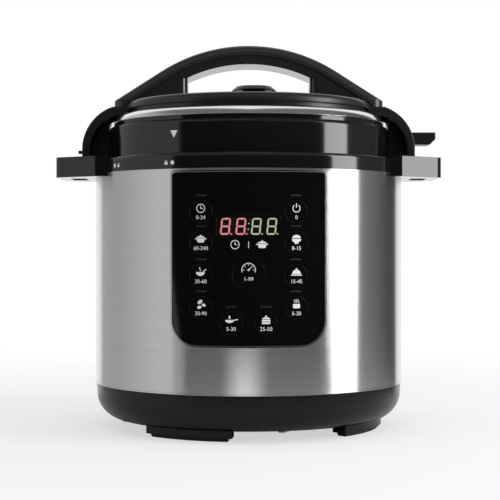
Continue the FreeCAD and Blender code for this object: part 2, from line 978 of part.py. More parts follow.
def board_screws():
    """Screws of the control board and of the power board."""
    screws = []
    for x, z in panel_posts:
        screws.append(screw(V(x, board_y + board_t, z), INWARD * -1, board_t + screw_bite / 3))
    for spot in power_board_posts():
        screws.append(screw(V(spot.x, spot.y, power_board_top_z), DOWN, screw_bite))
    return Part.makeCompound(screws)


# Condensation cup

cup_top_z = shell_top_z - cup_drop
cup_z = cup_top_z - cup_h
cup_y = shell_r + bead_out + bracket_t + running_gap
rail_z = cup_top_z - bracket_h / 2


def cup_bracket():
    """Plate on the jacket with a rail at each side for the cup."""
    skin = sector(shell_r + skin_gap, shell_r + bead_out + bracket_t, cup_top_z - bracket_h, cup_top_z,
                  FULL_TURN / 4, FULL_TURN / 4)
    reach = cup_w / 2 + rail_out + cup_wall
    plate = skin.common(box((reach * 2, cup_d * 4, bracket_h), V(0, shell_r, 0), cup_top_z - bracket_h))
    start_y = shell_r - cup_d / 2
    for side in (-1, 1):
        centre = V(side * (cup_w / 2 + running_gap + rail_out / 2), (start_y + cup_y + rail_l) / 2, 0)
        size = (rail_out, cup_y + rail_l - start_y, rail_h)
        bar = box(size, centre, rail_z - rail_h / 2)
        plate = plate.fuse(bar.cut(disc(shell_r + skin_gap, 0, cup_top_z)))
    return one(plate)


def condensation_cup():
    """Clear cup that hangs on the rails by two hooked flanges."""
    half = cup_w / 2
    back = cup_y + cup_d
    outer = rounded(
        xy, (-half, cup_y), (half, cup_y), (half, back, cup_corner_r), (-half, back, cup_corner_r))
    half_in = half - cup_wall
    inner_corner = cup_corner_r - cup_wall
    inner = rounded(
        xy, (-half_in, cup_y + cup_wall), (half_in, cup_y + cup_wall),
        (half_in, back - cup_wall, inner_corner), (-half_in, back - cup_wall, inner_corner))
    body = slab(outer, cup_z, cup_top_z)
    flange_w = half + loose_gap + rail_out + cup_wall
    flange_low = rail_z - rail_h / 2 - running_gap - cup_wall
    flange_high = rail_z + rail_h / 2 + running_gap + cup_wall
    hook = box((flange_w * 2, rail_l, flange_high - flange_low), V(0, cup_y + rail_l / 2, 0), flange_low)
    body = body.fuse(hook)
    for side in (-1, 1):
        centre = V(side * (half + running_gap + rail_out / 2), cup_y + rail_l / 2, 0)
        track = (rail_out + loose_gap, rail_l + tool_reach, rail_h + loose_gap)
        body = body.cut(box(track, centre, rail_z - track[2] / 2))
    return one(body.cut(slab(inner, cup_z + cup_wall, cup_top_z)))


# Inner pot

def inner_pot():
    """Drawn pot with a rounded foot and a rolled rim."""
    inner = pot_r - pot_wall
    rim_low = rim_z - pot_rim_t
    return turned(rounded(
        xz, (0, pot_z), (pot_r, pot_z, pot_corner_r), (pot_r, rim_low), (pot_rim_r, rim_low),
        (pot_rim_r, rim_z, pot_rim_t / 2), (inner, rim_z), (inner, pot_z + pot_wall, pot_corner_r - pot_wall),
        (0, pot_z + pot_wall)))


# Lid: liner and seal

liner_flat_r = liner_inner_r - liner_flat_w
liner_top_z = liner_flat_z + liner_rise
seal_r = liner_inner_r - running_gap
seal_inner_r = seal_r - seal_w


def liner_height(radius):
    """Height of the liner's outside at a radius on its dome."""
    return liner_flat_z + dome_height(liner_flat_r, liner_rise, radius)


def liner_underside(radius):
    """Height of the liner's inside at a radius on its dome."""
    return liner_inner_z + dome_height(liner_flat_r, liner_rise, radius)


def lid_liner():
    """Pressed steel lid: a flat shoulder, a dome, a deep rim and the bayonet lugs."""
    half_r = liner_flat_r / 2
    body = turned(traced(
        xz, (liner_inner_r, liner_z), (liner_r, liner_z), (liner_r, liner_flat_z),
        (liner_flat_r, liner_flat_z),
        (half_r, liner_height(half_r), 0, liner_top_z), (0, liner_top_z - liner_wall),
        (half_r, liner_underside(half_r), liner_flat_r, liner_inner_z), (liner_inner_r, liner_inner_z)))
    body = body.fuse(pattern(lug(liner_inner_r + liner_wall / 2, lid_lug_r, liner_z + lug_t), lug_count))
    bores = [(valve_x, valve_y, pipe_r + fitting_gap), (float_x, float_y, float_r + running_gap)]
    for x, y, radius in bores:
        body = body.cut(rod(radius, V(x, y, liner_z), UP, liner_top_z))
    return one(body)


def sealing_ring():
    """Silicone ring with a lip that rests on the pot's rim."""
    lip_in = seal_r - seal_lip_w
    high = seal_z + seal_h
    low_lip = seal_inner_r + seal_lip_w
    return turned(rounded(
        xz, (lip_in, seal_z), (seal_r, seal_z), (seal_r, high), (seal_inner_r, high), (seal_inner_r, seal_z),
        (low_lip, seal_z), (low_lip, high - seal_lip_w), (lip_in, high - seal_lip_w)))


def seal_rack():
    """Wire ring on the liner's inside that keeps the sealing ring in place."""
    radius = seal_inner_r - running_gap - rack_wire_r
    z = liner_inner_z - rack_drop
    body = Part.makeTorus(radius, rack_wire_r, V(0, 0, z))
    top = liner_underside(liner_flat_r) - z
    post = rod(rack_post_r, V(radius - rack_wire_r / 2, 0, z), UP, top + liner_wall)
    body = body.fuse(pattern(post, rack_post_count, FULL_TURN / rack_post_count / 2))
    return one(body.cut(lid_liner()))


# Lid: outer pieces

groove_r = skirt_r - groove_in
flange_in_r = liner_flat_r
rib_r = liner_inner_r - skirt_rib_w
trim_r = skirt_r - trim_bottom_in
trim_top_r = skirt_r - trim_rise_in
trim_flange_z = trim_top_z - trim_wall


def lid_skirt():
    """Gloss side of the lid, with an inner rib that stands on the liner."""
    inner = skirt_r - skirt_wall
    flange_z = skirt_top_z - skirt_wall
    body = turned(rounded(
        xz, (inner, skirt_z), (skirt_r, skirt_z), (skirt_r, skirt_top_z, skirt_edge_r),
        (groove_r, skirt_top_z), (groove_r, trim_z), (flange_in_r + trim_seat_w, trim_z),
        (flange_in_r + trim_seat_w, trim_flange_z), (flange_in_r, trim_flange_z), (flange_in_r, flange_z),
        (rib_r - skirt_rib_w, flange_z),
        (rib_r - skirt_rib_w, liner_flat_z), (rib_r, liner_flat_z), (rib_r, flange_z), (inner, flange_z)))
    return body


cover_foot_r = cover_r - cover_rim_lap


def trim_middle():
    """Fullest point of the trim ring's rounded shoulder."""
    return V(trim_top_r + (trim_r - trim_top_r) * trim_fullness, 0, trim_z + trim_h * trim_fullness)


def lid_trim_ring():
    """Bright pressed ring round the lid's shoulder, with a flange under the top cover."""
    middle = trim_middle()
    inner = middle - V(trim_wall, 0, trim_wall) * math.sqrt(0.5)
    return turned(traced(
        xz, (trim_r, trim_z), (middle.x, middle.z, trim_top_r, trim_top_z),
        (flange_in_r, trim_top_z), (flange_in_r, trim_flange_z), (trim_top_r, trim_flange_z),
        (inner.x, inner.z, trim_r - trim_wall, trim_z)))


def cover_height(radius):
    """Height of the top cover's outside at a radius."""
    return cover_edge_z + dome_height(cover_r, cover_rise, radius)


def cover_dome():
    """Domed top without its arms."""
    half_r = cover_r / 2
    rim_r = cover_r - cover_edge_r
    inner = cover_foot_r - cover_wall
    half_in = inner / 2
    turn_r = rim_r + cover_edge_r * math.cos(math.pi / 4)
    turn_z = cover_height(rim_r) - cover_edge_r + cover_edge_r * math.sin(math.pi / 4)
    return turned(traced(
        xz, (inner, trim_top_z), (cover_foot_r, trim_top_z), (cover_foot_r, cover_z), (cover_r, cover_z),
        (cover_r, cover_height(rim_r) - cover_edge_r), (turn_r, turn_z, rim_r, cover_height(rim_r)),
        (half_r, cover_height(half_r), 0, cover_top_z), (0, cover_top_z - cover_wall),
        (half_in, cover_height(half_in) - cover_wall, inner, cover_height(inner) - cover_wall)))


arm_end_z = ear_top_z + arm_end_gap
arm_root_x = cover_foot_r - cover_wall
handle_half = cover_r + handle_foot_reach
handle_foot_z = cover_edge_z - handle_foot_drop
arm_top_z = handle_foot_z


def arm_face(inset):
    """Right arm seen from the front, drawn in by inset from its outer wall."""
    start = V(handle_half - inset / 2, arm_top_z - inset)
    end = V(arm_tip - inset, arm_end_z + arm_end_h)
    chord = end - start
    middle = (start + end) / 2 + V(-chord.y, chord.x).normalize() * (arm_bulge - inset * arm_bulge_loss)
    return traced(
        xz, (arm_root_x, arm_end_z), (arm_root_x, start.y), (start.x, start.y),
        (middle.x, middle.y, end.x, end.y), (end.x, arm_end_z))


def lid_body_room():
    """Space that the skirt and the trim ring take inside the arms."""
    room = skirt_r + fitting_gap
    gap = fitting_gap * 2
    middle = trim_middle() + V(gap, 0, gap)
    return turned(traced(
        xz, (0, skirt_z - overlap), (room, skirt_z - overlap), (room, trim_z), (trim_r + gap, trim_z),
        (middle.x, middle.z, trim_top_r + gap, trim_top_z + gap), (0, trim_top_z + gap)))


def arm():
    """Right arm: an outer wall that wraps the lid's shoulder, recessed at the front and the rear."""
    half = arm_w / 2
    body = prism(arm_face(0), -half, half)
    recess = arm_face(arm_wall)
    body = body.cut(prism(recess, -half, -half + arm_recess)).cut(prism(recess, half - arm_recess, half))
    return body.cut(lid_body_room())


def lid_top_cover():
    """Domed cover with an arm at each side."""
    body = cover_dome()
    hollow = disc(cover_foot_r - cover_wall / 2, arm_end_z, arm_top_z)
    for side in pattern(arm(), 2):
        body = body.fuse(side.cut(hollow))
    nub = box((nub_reach + overlap, nub_w, nub_h), V(-arm_tip - (nub_reach - overlap) / 2, 0, 0),
              arm_end_z + nub_rise)
    body = body.fuse(nub)
    stem_r = knob_stem_r + loose_gap
    low = trim_top_z
    body = body.cut(rod(stem_r, V(valve_x, valve_y, low), UP, cover_top_z))
    body = body.cut(rod(float_r + running_gap, V(float_x, float_y, low), UP, cover_top_z))
    for spot in stud_spots(low):
        body = body.cut(screw_hole(spot, UP, cover_top_z))
    return one(body)


def stud_spots(z):
    """Places of the studs that carry the cover and the handle."""
    return [V(side * stud_x, end * stud_y, z) for side in (-1, 1) for end in (-1, 1)]


def lid_studs():
    """Posts on the liner's dome that reach the top cover."""
    inner = cover_foot_r - cover_wall
    half_in = inner / 2
    dome_room = turned(traced(
        xz, (inner, liner_z), (inner, cover_height(inner) - cover_wall),
        (half_in, cover_height(half_in) - cover_wall, 0, cover_top_z - cover_wall), (0, liner_z)))
    half_r = liner_flat_r / 2
    liner_room = turned(traced(
        xz, (0, liner_z), (liner_flat_r, liner_z), (liner_flat_r, liner_flat_z),
        (half_r, liner_height(half_r), 0, liner_top_z)))
    studs = []
    for spot in stud_spots(liner_z):
        stud = rod(stud_r, spot, UP, cover_top_z - liner_z).common(dome_room).cut(liner_room)
        top = V(spot.x, spot.y, cover_top_z)
        studs.append(stud.cut(rod(screw_r, top, DOWN, cover_rise + cover_wall + screw_bite * 2)))
    return Part.makeCompound(studs)


def lid_rest_fin():
    """Tab at the lid's right that stands in an ear's slot when the lid is parked."""
    low = trim_z - fin_drop - fin_h + groove_h
    high = low + fin_h
    start = arm_tip
    tip = arm_tip + fin_l
    face = rounded(
        xz, (start, low), (tip - fin_chamfer, low), (tip, low + fin_chamfer), (tip, high), (start, high))
    return prism(face, fin_y, fin_y + fin_w)


# Handle

handle_end_z = handle_foot_z + handle_end_h
arc_centre_z = handle_top_z - handle_arc_r
end_rise = handle_end_z - arc_centre_z
slope = math.atan2(handle_half, end_rise) - math.acos(handle_arc_r / math.hypot(handle_half, end_rise))


def arch(drop, half):
    """Arched outline, drop below the handle's top and half wide at its feet."""
    radius = handle_arc_r - drop
    bend_x = radius * math.sin(slope)
    bend_z = arc_centre_z + radius * math.cos(slope)
    foot_z = bend_z - (half - bend_x) * math.tan(slope)
    return traced(
        xz, (-half, handle_foot_z), (-half, foot_z), (-bend_x, bend_z),
        (0, arc_centre_z + radius, bend_x, bend_z), (half, foot_z), (half, handle_foot_z))


def cover_room():
    """Space under the top cover's surface, the arms included."""
    half_r = cover_r / 2
    rim_r = cover_r - cover_edge_r
    return turned(traced(
        xz, (0, skirt_z), (arm_tip, skirt_z), (arm_tip, arm_top_z), (cover_r, arm_top_z),
        (cover_r, cover_height(rim_r)), (rim_r, cover_height(rim_r)),
        (half_r, cover_height(half_r), 0, cover_top_z)))


def handle_cover():
    """Upper shell of the handle, from foot to foot."""
    half_w = handle_w / 2
    body = prism(arch(0, handle_half), -half_w, half_w)
    body = body.cut(prism(arch(handle_skin, handle_half - handle_skin), -half_w, half_w))
    outer_edges = []
    for edge in body.Edges:
        middle = edge.valueAt((edge.FirstParameter + edge.LastParameter) / 2)
        on_side = abs(abs(middle.y) - half_w) < fitting_gap
        inside = prism(arch(overlap, handle_half - overlap), -handle_w, handle_w)
        if on_side and middle.z > handle_end_z and not inside.isInside(middle, fitting_gap, True):
            outer_edges.append(edge)
    body = body.makeFillet(handle_edge_r, outer_edges)
    plan = rounded(
        xy, (-handle_half, -half_w, handle_corner_r), (handle_half, -half_w, handle_corner_r),
        (handle_half, half_w, handle_corner_r), (-handle_half, half_w, handle_corner_r))
    return one(body.cut(cover_room()).common(slab(plan, handle_foot_z, handle_top_z)))


def post_corner(half_x, half_w, top_z):
    """What rounding takes off a post's upright corner beside the opening."""
    size = (grip_post_r, grip_post_r, top_z - handle_foot_z)
    centre = V(half_x + grip_post_r, half_w - grip_post_r, handle_foot_z)
    square = Part.makeBox(*size, centre - V(grip_post_r, 0, 0))
    return square.cut(rod(grip_post_r, centre, UP, size[2]))


def handle_grip():
    """Lower half of the handle: the grip under the arch and its two posts."""
    half_w = handle_w / 2 - grip_inset
    half_x = grip_open_w / 2
    drop = handle_skin + fitting_gap
    body = prism(arch(drop, cover_r - cover_edge_r), -half_w, half_w)
    radius = handle_arc_r - handle_band
    corner_z = arc_centre_z + math.sqrt(radius ** 2 - half_x ** 2)
    gap = traced(
        xz, (-half_x, handle_foot_z - overlap), (-half_x, corner_z),
        (0, arc_centre_z + radius, half_x, corner_z), (half_x, handle_foot_z - overlap))
    body = body.cut(prism(gap, -handle_w, handle_w)).cut(cover_room())
    corner = post_corner(half_x, half_w, corner_z)
    mirrored = corner.mirror(ORIGIN, V(1, 0, 0))
    body = body.cut(pattern(corner, 2) + pattern(mirrored, 2))
    for spot in stud_spots(cover_edge_z):
        seat_z = cover_height(math.hypot(spot.x, spot.y)) + base_wall
        body = body.cut(screw_hole(V(spot.x, spot.y, cover_edge_z - cover_rise), UP, handle_rise))
        body = body.cut(rod(screw_head_r + screw_gap, V(spot.x, spot.y, seat_z), UP, handle_rise))
    return one(body)


def lid_screws():
    """Screws that hold the grip and the top cover down on the studs."""
    screws = []
    for spot in stud_spots(0):
        seat_z = cover_height(math.hypot(spot.x, spot.y)) + base_wall
        screws.append(screw(V(spot.x, spot.y, seat_z), DOWN, base_wall + cover_wall + screw_bite))
    return Part.makeCompound(screws)


# Valves

valve_pitch_r = math.hypot(valve_x, valve_y)
pipe_z = liner_underside(valve_pitch_r + pipe_flange_r) - pipe_flange_t - fitting_gap
knob_z = cover_height(valve_pitch_r) + knob_stand
pipe_top_z = knob_z
valve_axis = V(valve_x, valve_y, 0)


def on_valve(profile):
    """Profile turned about the steam valve's axis."""
    return moved(turned(profile), valve_axis)


def vent_pipe():
    """Pipe through the liner that the steam valve's knob sits on."""
    return on_valve(rounded(
        xz, (pipe_bore_r, pipe_z), (pipe_flange_r, pipe_z), (pipe_flange_r, pipe_z + pipe_flange_t),
        (pipe_r, pipe_z + pipe_flange_t), (pipe_r, pipe_top_z), (pipe_bore_r, pipe_top_z)))


def anti_block_shield():
    """Perforated cap under the vent pipe."""
    low = pipe_z - shield_h
    inner = shield_r - shield_wall
    lip = (pipe_flange_r + pipe_r) / 2
    body = on_valve(rounded(
        xz, (0, low), (shield_r, low, shield_wall), (shield_r, pipe_z), (lip, pipe_z),
        (lip, pipe_z - shield_wall), (inner, pipe_z - shield_wall), (inner, low + shield_wall),
        (0, low + shield_wall)))
    slot = box((shield_r, shield_wall * 2, shield_h / 3), V(shield_r, 0, 0), low + shield_h / 3)
    return one(body.cut([moved(each, valve_axis) for each in pattern(slot, shield_slots)]))


def steam_valve_knob():
    """Turning knob: a bevelled disc on a stem that is hollow over the vent pipe."""
    stem_z = cover_edge_z - cover_wall
    top = knob_z + knob_h
    bore = pipe_r + running_gap
    return on_valve(rounded(
        xz, (bore, stem_z), (knob_stem_r, stem_z), (knob_stem_r, knob_z), (knob_r, knob_z),
        (knob_r, knob_z + knob_edge_h), (knob_top_r, top, knob_edge_h), (0, top),
        (0, pipe_top_z + running_gap), (bore, pipe_top_z + running_gap)))


def float_valve():
    """Pin that pressure lifts, with its seal under the liner."""
    radius = math.hypot(float_x, float_y)
    seat = liner_underside(radius + float_flange_r) - running_gap
    flange_top = seat - float_travel
    top = cover_height(radius) - running_gap
    start = V(float_x, float_y, flange_top)
    pin = rod(float_r, start, UP, top - flange_top)
    return one(pin.fuse(rod(float_flange_r, start, DOWN, float_flange_t)))


def export(name, shape):
    """Write one piece."""
    if not shape.isValid():
        raise ValueError(name + " is not a valid shape")
    shape.exportStep(os.path.join("parts", name + ".step"))
    print("%-20s solids %2d volume %10.0f" % (name, len(shape.Solids), shape.Volume))


os.makedirs("parts", exist_ok=True)
pieces = [
    base_housing, foot_pads, bottom_plate, base_screws, tie_rods, outer_shell, collar_ring, locking_ring,
    collar_screws, cooking_well, heating_plate, heating_element, heater_posts, thermostat_cap,
    thermostat_seat, thermostat_spring, thermal_fuse, pressure_switch, power_board, power_board_parts,
    power_inlet, inlet_pins, panel_bezel, panel_fascia, display_lens, control_board, tact_switches,
    led_display, board_screws, cup_bracket, condensation_cup, inner_pot, lid_liner, sealing_ring, seal_rack,
    lid_skirt, lid_trim_ring, lid_top_cover, lid_studs, lid_rest_fin, handle_cover, handle_grip, lid_screws,
    vent_pipe, anti_block_shield, steam_valve_knob, float_valve,
]
for piece in pieces:
    export(piece.__name__, piece())
for name, (x, z, radius) in keys.items():
    export(name, key(x, z, radius))
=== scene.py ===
import json
import math

import bmesh
import bpy
from bpy.props import FloatProperty, FloatVectorProperty, PointerProperty
from bpy.types import Operator, Panel, PropertyGroup
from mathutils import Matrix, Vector

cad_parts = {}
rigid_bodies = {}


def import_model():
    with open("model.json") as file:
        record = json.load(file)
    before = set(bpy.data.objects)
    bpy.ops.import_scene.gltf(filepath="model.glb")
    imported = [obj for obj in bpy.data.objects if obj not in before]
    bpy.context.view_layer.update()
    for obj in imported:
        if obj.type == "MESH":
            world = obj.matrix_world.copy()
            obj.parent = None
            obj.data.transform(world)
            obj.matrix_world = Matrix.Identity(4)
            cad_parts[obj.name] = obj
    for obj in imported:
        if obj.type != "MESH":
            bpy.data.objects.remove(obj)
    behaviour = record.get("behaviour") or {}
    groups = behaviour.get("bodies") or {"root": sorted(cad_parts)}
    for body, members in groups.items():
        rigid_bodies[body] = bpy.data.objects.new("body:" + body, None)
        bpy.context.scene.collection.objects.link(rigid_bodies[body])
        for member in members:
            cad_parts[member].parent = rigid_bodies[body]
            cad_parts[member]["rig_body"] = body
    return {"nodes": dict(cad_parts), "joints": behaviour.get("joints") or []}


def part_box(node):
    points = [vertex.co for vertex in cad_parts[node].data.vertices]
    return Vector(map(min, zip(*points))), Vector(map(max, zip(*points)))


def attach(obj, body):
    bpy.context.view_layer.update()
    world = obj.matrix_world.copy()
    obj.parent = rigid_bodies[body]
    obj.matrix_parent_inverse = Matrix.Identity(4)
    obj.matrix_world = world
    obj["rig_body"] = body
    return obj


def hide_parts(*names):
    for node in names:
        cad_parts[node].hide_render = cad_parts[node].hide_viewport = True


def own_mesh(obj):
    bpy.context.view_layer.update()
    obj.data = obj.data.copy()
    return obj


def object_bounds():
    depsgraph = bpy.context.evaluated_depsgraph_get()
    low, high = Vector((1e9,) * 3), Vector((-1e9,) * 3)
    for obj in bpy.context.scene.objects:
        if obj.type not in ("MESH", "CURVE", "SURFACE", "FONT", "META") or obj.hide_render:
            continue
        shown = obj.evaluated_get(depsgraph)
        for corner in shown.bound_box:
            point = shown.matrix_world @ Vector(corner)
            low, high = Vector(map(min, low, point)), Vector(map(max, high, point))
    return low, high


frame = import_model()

bl_info = {
    "name": "Electric pressure cooker",
    "version": (1, 0, 0),
    "blender": (4, 5, 0),
    "location": "View3D > Sidebar > Cooker",
    "description": "Finishes, prints, digits and studio for the electric pressure cooker",
    "category": "Object",
}

CAD_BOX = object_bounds()
MM = 0.001

# Sizes of flow marks and smears in plastics, and of clouds in metals
FLOW_SPOT = 18 * MM
SMEAR_SPOT = 45 * MM
CLOUD_SPOT = 60 * MM

# Radii and faces that the prints sit on, read from the frame
FASCIA_R = -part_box("panel_fascia")[0].y
COLLAR_R = -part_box("collar_ring")[0].y
SKIRT_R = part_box("lid_skirt")[1].x
POT_LOW, POT_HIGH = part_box("inner_pot")
POT_MIDDLE = (POT_LOW + POT_HIGH) / 2
POT_INNER_R = min(
    vert.co.xy.length for vert in frame["nodes"]["inner_pot"].data.vertices if vert.co.z > POT_MIDDLE.z)
LED_LOW, LED_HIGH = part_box("led_display")


def colour(label, about, value):
    """A colour that a user may change."""
    return FloatVectorProperty(
        name=label, description=about, default=value, size=3, min=0.0, max=1.0, subtype="COLOR")


def length(label, about, value):
    """A length that a user may change, in metres."""
    return FloatProperty(name=label, description=about, default=value, min=0.0, unit="LENGTH", precision=5)


def angle(label, about, degrees):
    """An angle that a user may change."""
    return FloatProperty(name=label, description=about, default=math.radians(degrees), unit="ROTATION")


def level(label, about, value):
    """A plain number that a user may change."""
    return FloatProperty(name=label, description=about, default=value, min=0.0)


class CookerFinish(PropertyGroup):
    """Colours of the cooker's materials."""

    jacket: colour("Jacket steel", "Brushed steel of the round jacket", (0.60, 0.595, 0.585))
    satin: colour(
        "Satin steel", "Pressed steel of the well, the liner and the locking ring", (0.58, 0.57, 0.56))
    zinc: colour("Zinc", "Plated screws, rods and spring", (0.52, 0.53, 0.54))
    chrome: colour("Trim ring", "Bright ring on the lid's shoulder", (0.78, 0.775, 0.765))
    bezel: colour("Panel frame", "Thin silver frame round the panel", (0.55, 0.55, 0.55))
    gloss: colour(
        "Gloss black", "Polished plastic of the lid's skirt and the collar", (0.006, 0.006, 0.006))
    matte: colour("Matte black", "Grained plastic of the top cover", (0.010, 0.010, 0.010))
    handle: colour("Handle black", "Satin plastic of the handle", (0.019, 0.019, 0.019))
    base: colour("Base black", "Satin plastic of the base", (0.003, 0.003, 0.003))
    rubber: colour("Foot rubber", "Rubber under the feet", (0.012, 0.012, 0.012))
    panel: colour("Panel black", "Clear-coated black of the panel and its keys", (0.003, 0.003, 0.003))
    smoke: colour("Display smoke", "Smoked window over the digits", (0.004, 0.004, 0.004))
    ink: colour("White ink", "Printed symbols and marks", (0.80, 0.80, 0.79))
    faint_ink: colour("Unlit lamps", "Small lamp windows above the keys", (0.020, 0.020, 0.020))
    red_digit: colour("Red digits", "Lit segments of the first two digits", (1.0, 0.50, 0.46))
    red_glow: colour("Red glow", "Halo of the first two digits", (0.42, 0.012, 0.020))
    green_digit: colour("Pale digits", "Lit segments of the last two digits", (0.80, 0.86, 0.62))
    green_glow: colour("Pale glow", "Halo of the last two digits", (0.060, 0.085, 0.028))
    coating: colour("Pot coating", "Non-stick inside of the pot", (0.030, 0.030, 0.032))
    pot: colour("Pot metal", "Bare outside of the pot", (0.62, 0.62, 0.61))
    cast: colour("Cast metal", "Heating plate", (0.55, 0.55, 0.55))
    sheath: colour("Element sheath", "Heating element", (0.16, 0.15, 0.14))
    board: colour("Circuit board", "Coated circuit boards", (0.010, 0.075, 0.030))
    copper: colour("Board traces", "Traces under the boards' coating", (0.030, 0.150, 0.060))
    component: colour("Components", "Dark parts on the boards", (0.018, 0.018, 0.019))
    ceramic: colour("Ceramic", "Body of the thermal fuse", (0.70, 0.69, 0.66))
    brass: colour("Brass", "Contact blades of the inlet", (0.62, 0.47, 0.20))
    silicone: colour("Silicone", "Sealing ring", (0.56, 0.55, 0.53))
    clear: colour("Clear cup", "Clear plastic of the condensation cup", (0.78, 0.80, 0.81))


class CookerMarks(PropertyGroup):
    """Sizes of the prints and of the digits."""

    ink: length("Ink", "Thickness of a print", 0.06 * MM)
    slice: length("Slice", "Widest flat strip of a print on a round face", 1.5 * MM)
    numeral: length("Numerals", "Height of the numbers under the symbols", 4.4 * MM)
    digit_w: length("Digit width", "Width of a display digit between its segments' middles", 6.6 * MM)
    digit_h: length("Digit height", "Height of a display digit between its segments' middles", 12.4 * MM)
    digit_pitch: length("Digit pitch", "Spacing of the display digits", 12.6 * MM)
    segment: length("Segment", "Width of a lit segment", 1.15 * MM)
    glow: length("Glow", "Width of the halo behind a segment", 2.3 * MM)
    dot: length("Lock dot", "Radius of the dots on the collar", 1.7 * MM)
    arrow: length("Arrow", "Width of the triangle on the lid", 7.0 * MM)
    litre: length("Litre", "Height of one litre in the pot", 26.2 * MM)
    level_ink: length("Level ink", "Thickness of the level marks in the pot", 0.3 * MM)
    closed_at: angle("Closed mark", "Place of the closed mark round the collar", -27.2)
    open_at: angle("Open mark", "Place of the open mark round the collar", -56.4)
    arrow_at: angle("Arrow place", "Place of the triangle round the lid", -29.6)


class CookerStudio(PropertyGroup):
    """Camera, floor and light."""

    distance: length("Distance", "Camera's distance from the cooker's axis", 1.274)
    height: length("Eye height", "Camera's height over the floor", 0.165)
    lens: level("Lens", "Focal length in millimetres on a 36 mm sensor", 101.1)
    shift_x: FloatProperty(name="Shift across", description="Sideways shift of the frame", default=0.0028)
    shift_y: FloatProperty(name="Shift up", description="Upward shift of the frame", default=-0.0154)
    floor_r: length("Floor", "Radius of the floor", 6.0)
    floor: colour("Floor colour", "Pale floor", (0.86, 0.86, 0.86))
    near_r: length("Near floor", "Radius of the floor that shiny faces show", 0.30)
    fill: level("Fill", "Level of the light from all round", 0.62)
    left: level("Left wall", "Brightness of the pale wall at the left, as shiny faces show it", 0.74)
    right: level("Right screen", "Brightness of the dark screen at the right", 0.24)
    front: level("Front", "Brightness of the dark room in front", 0.015)
    front_glow: level("Front glow", "Added brightness above and below the front", 0.52)
    behind: level("Behind", "Brightness of the white wall behind", 1.0)
    ceiling: level("Ceiling", "Brightness of the dim ceiling", 0.16)
    below: level("Below", "Brightness of the pale ground below", 1.0)
    box_distance: length("Softbox distance", "Distance of the right softbox from the axis", 1.5)
    box_at: angle("Softbox place", "Place of the right softbox round the cooker", 72.0)
    box_w: length("Softbox width", "Width of the right softbox", 0.60)
    box_h: length("Softbox height", "Height of the right softbox", 1.0)
    box_level: level("Softbox level", "Brightness of the right softbox", 8.0)
    card_x: FloatProperty(
        name="Card place", description="Place of the front card across", default=-0.012, unit="LENGTH")
    card_y: length("Card distance", "Distance of the front card from the axis", 0.32)
    card_w: length("Card width", "Width of the low white card in front", 0.17)
    card_h: length("Card height", "Height of the low white card in front", 0.02)
    card_level: level("Card level", "Brightness of the low white card in front", 5.0)
    top_w: length("Top light", "Width of the light overhead", 1.4)
    top_level: level("Top level", "Brightness of the light overhead", 1.1)


class Wire:
    """A node's output that makes Math nodes when it is used in an expression."""

    def __init__(self, sheet, socket):
        self.sheet = sheet
        self.socket = socket

    def __add__(self, other):
        return self.sheet.math("ADD", self, other)

    def __radd__(self, other):
        return self.sheet.math("ADD", other, self)

    def __sub__(self, other):
        return self.sheet.math("SUBTRACT", self, other)

    def __rsub__(self, other):
        return self.sheet.math("SUBTRACT", other, self)

    def __mul__(self, other):
        return self.sheet.math("MULTIPLY", self, other)

    def __rmul__(self, other):
        return self.sheet.math("MULTIPLY", other, self)

    def __gt__(self, other):
        return self.sheet.math("GREATER_THAN", self, other)

    def __lt__(self, other):
        return self.sheet.math("LESS_THAN", self, other)


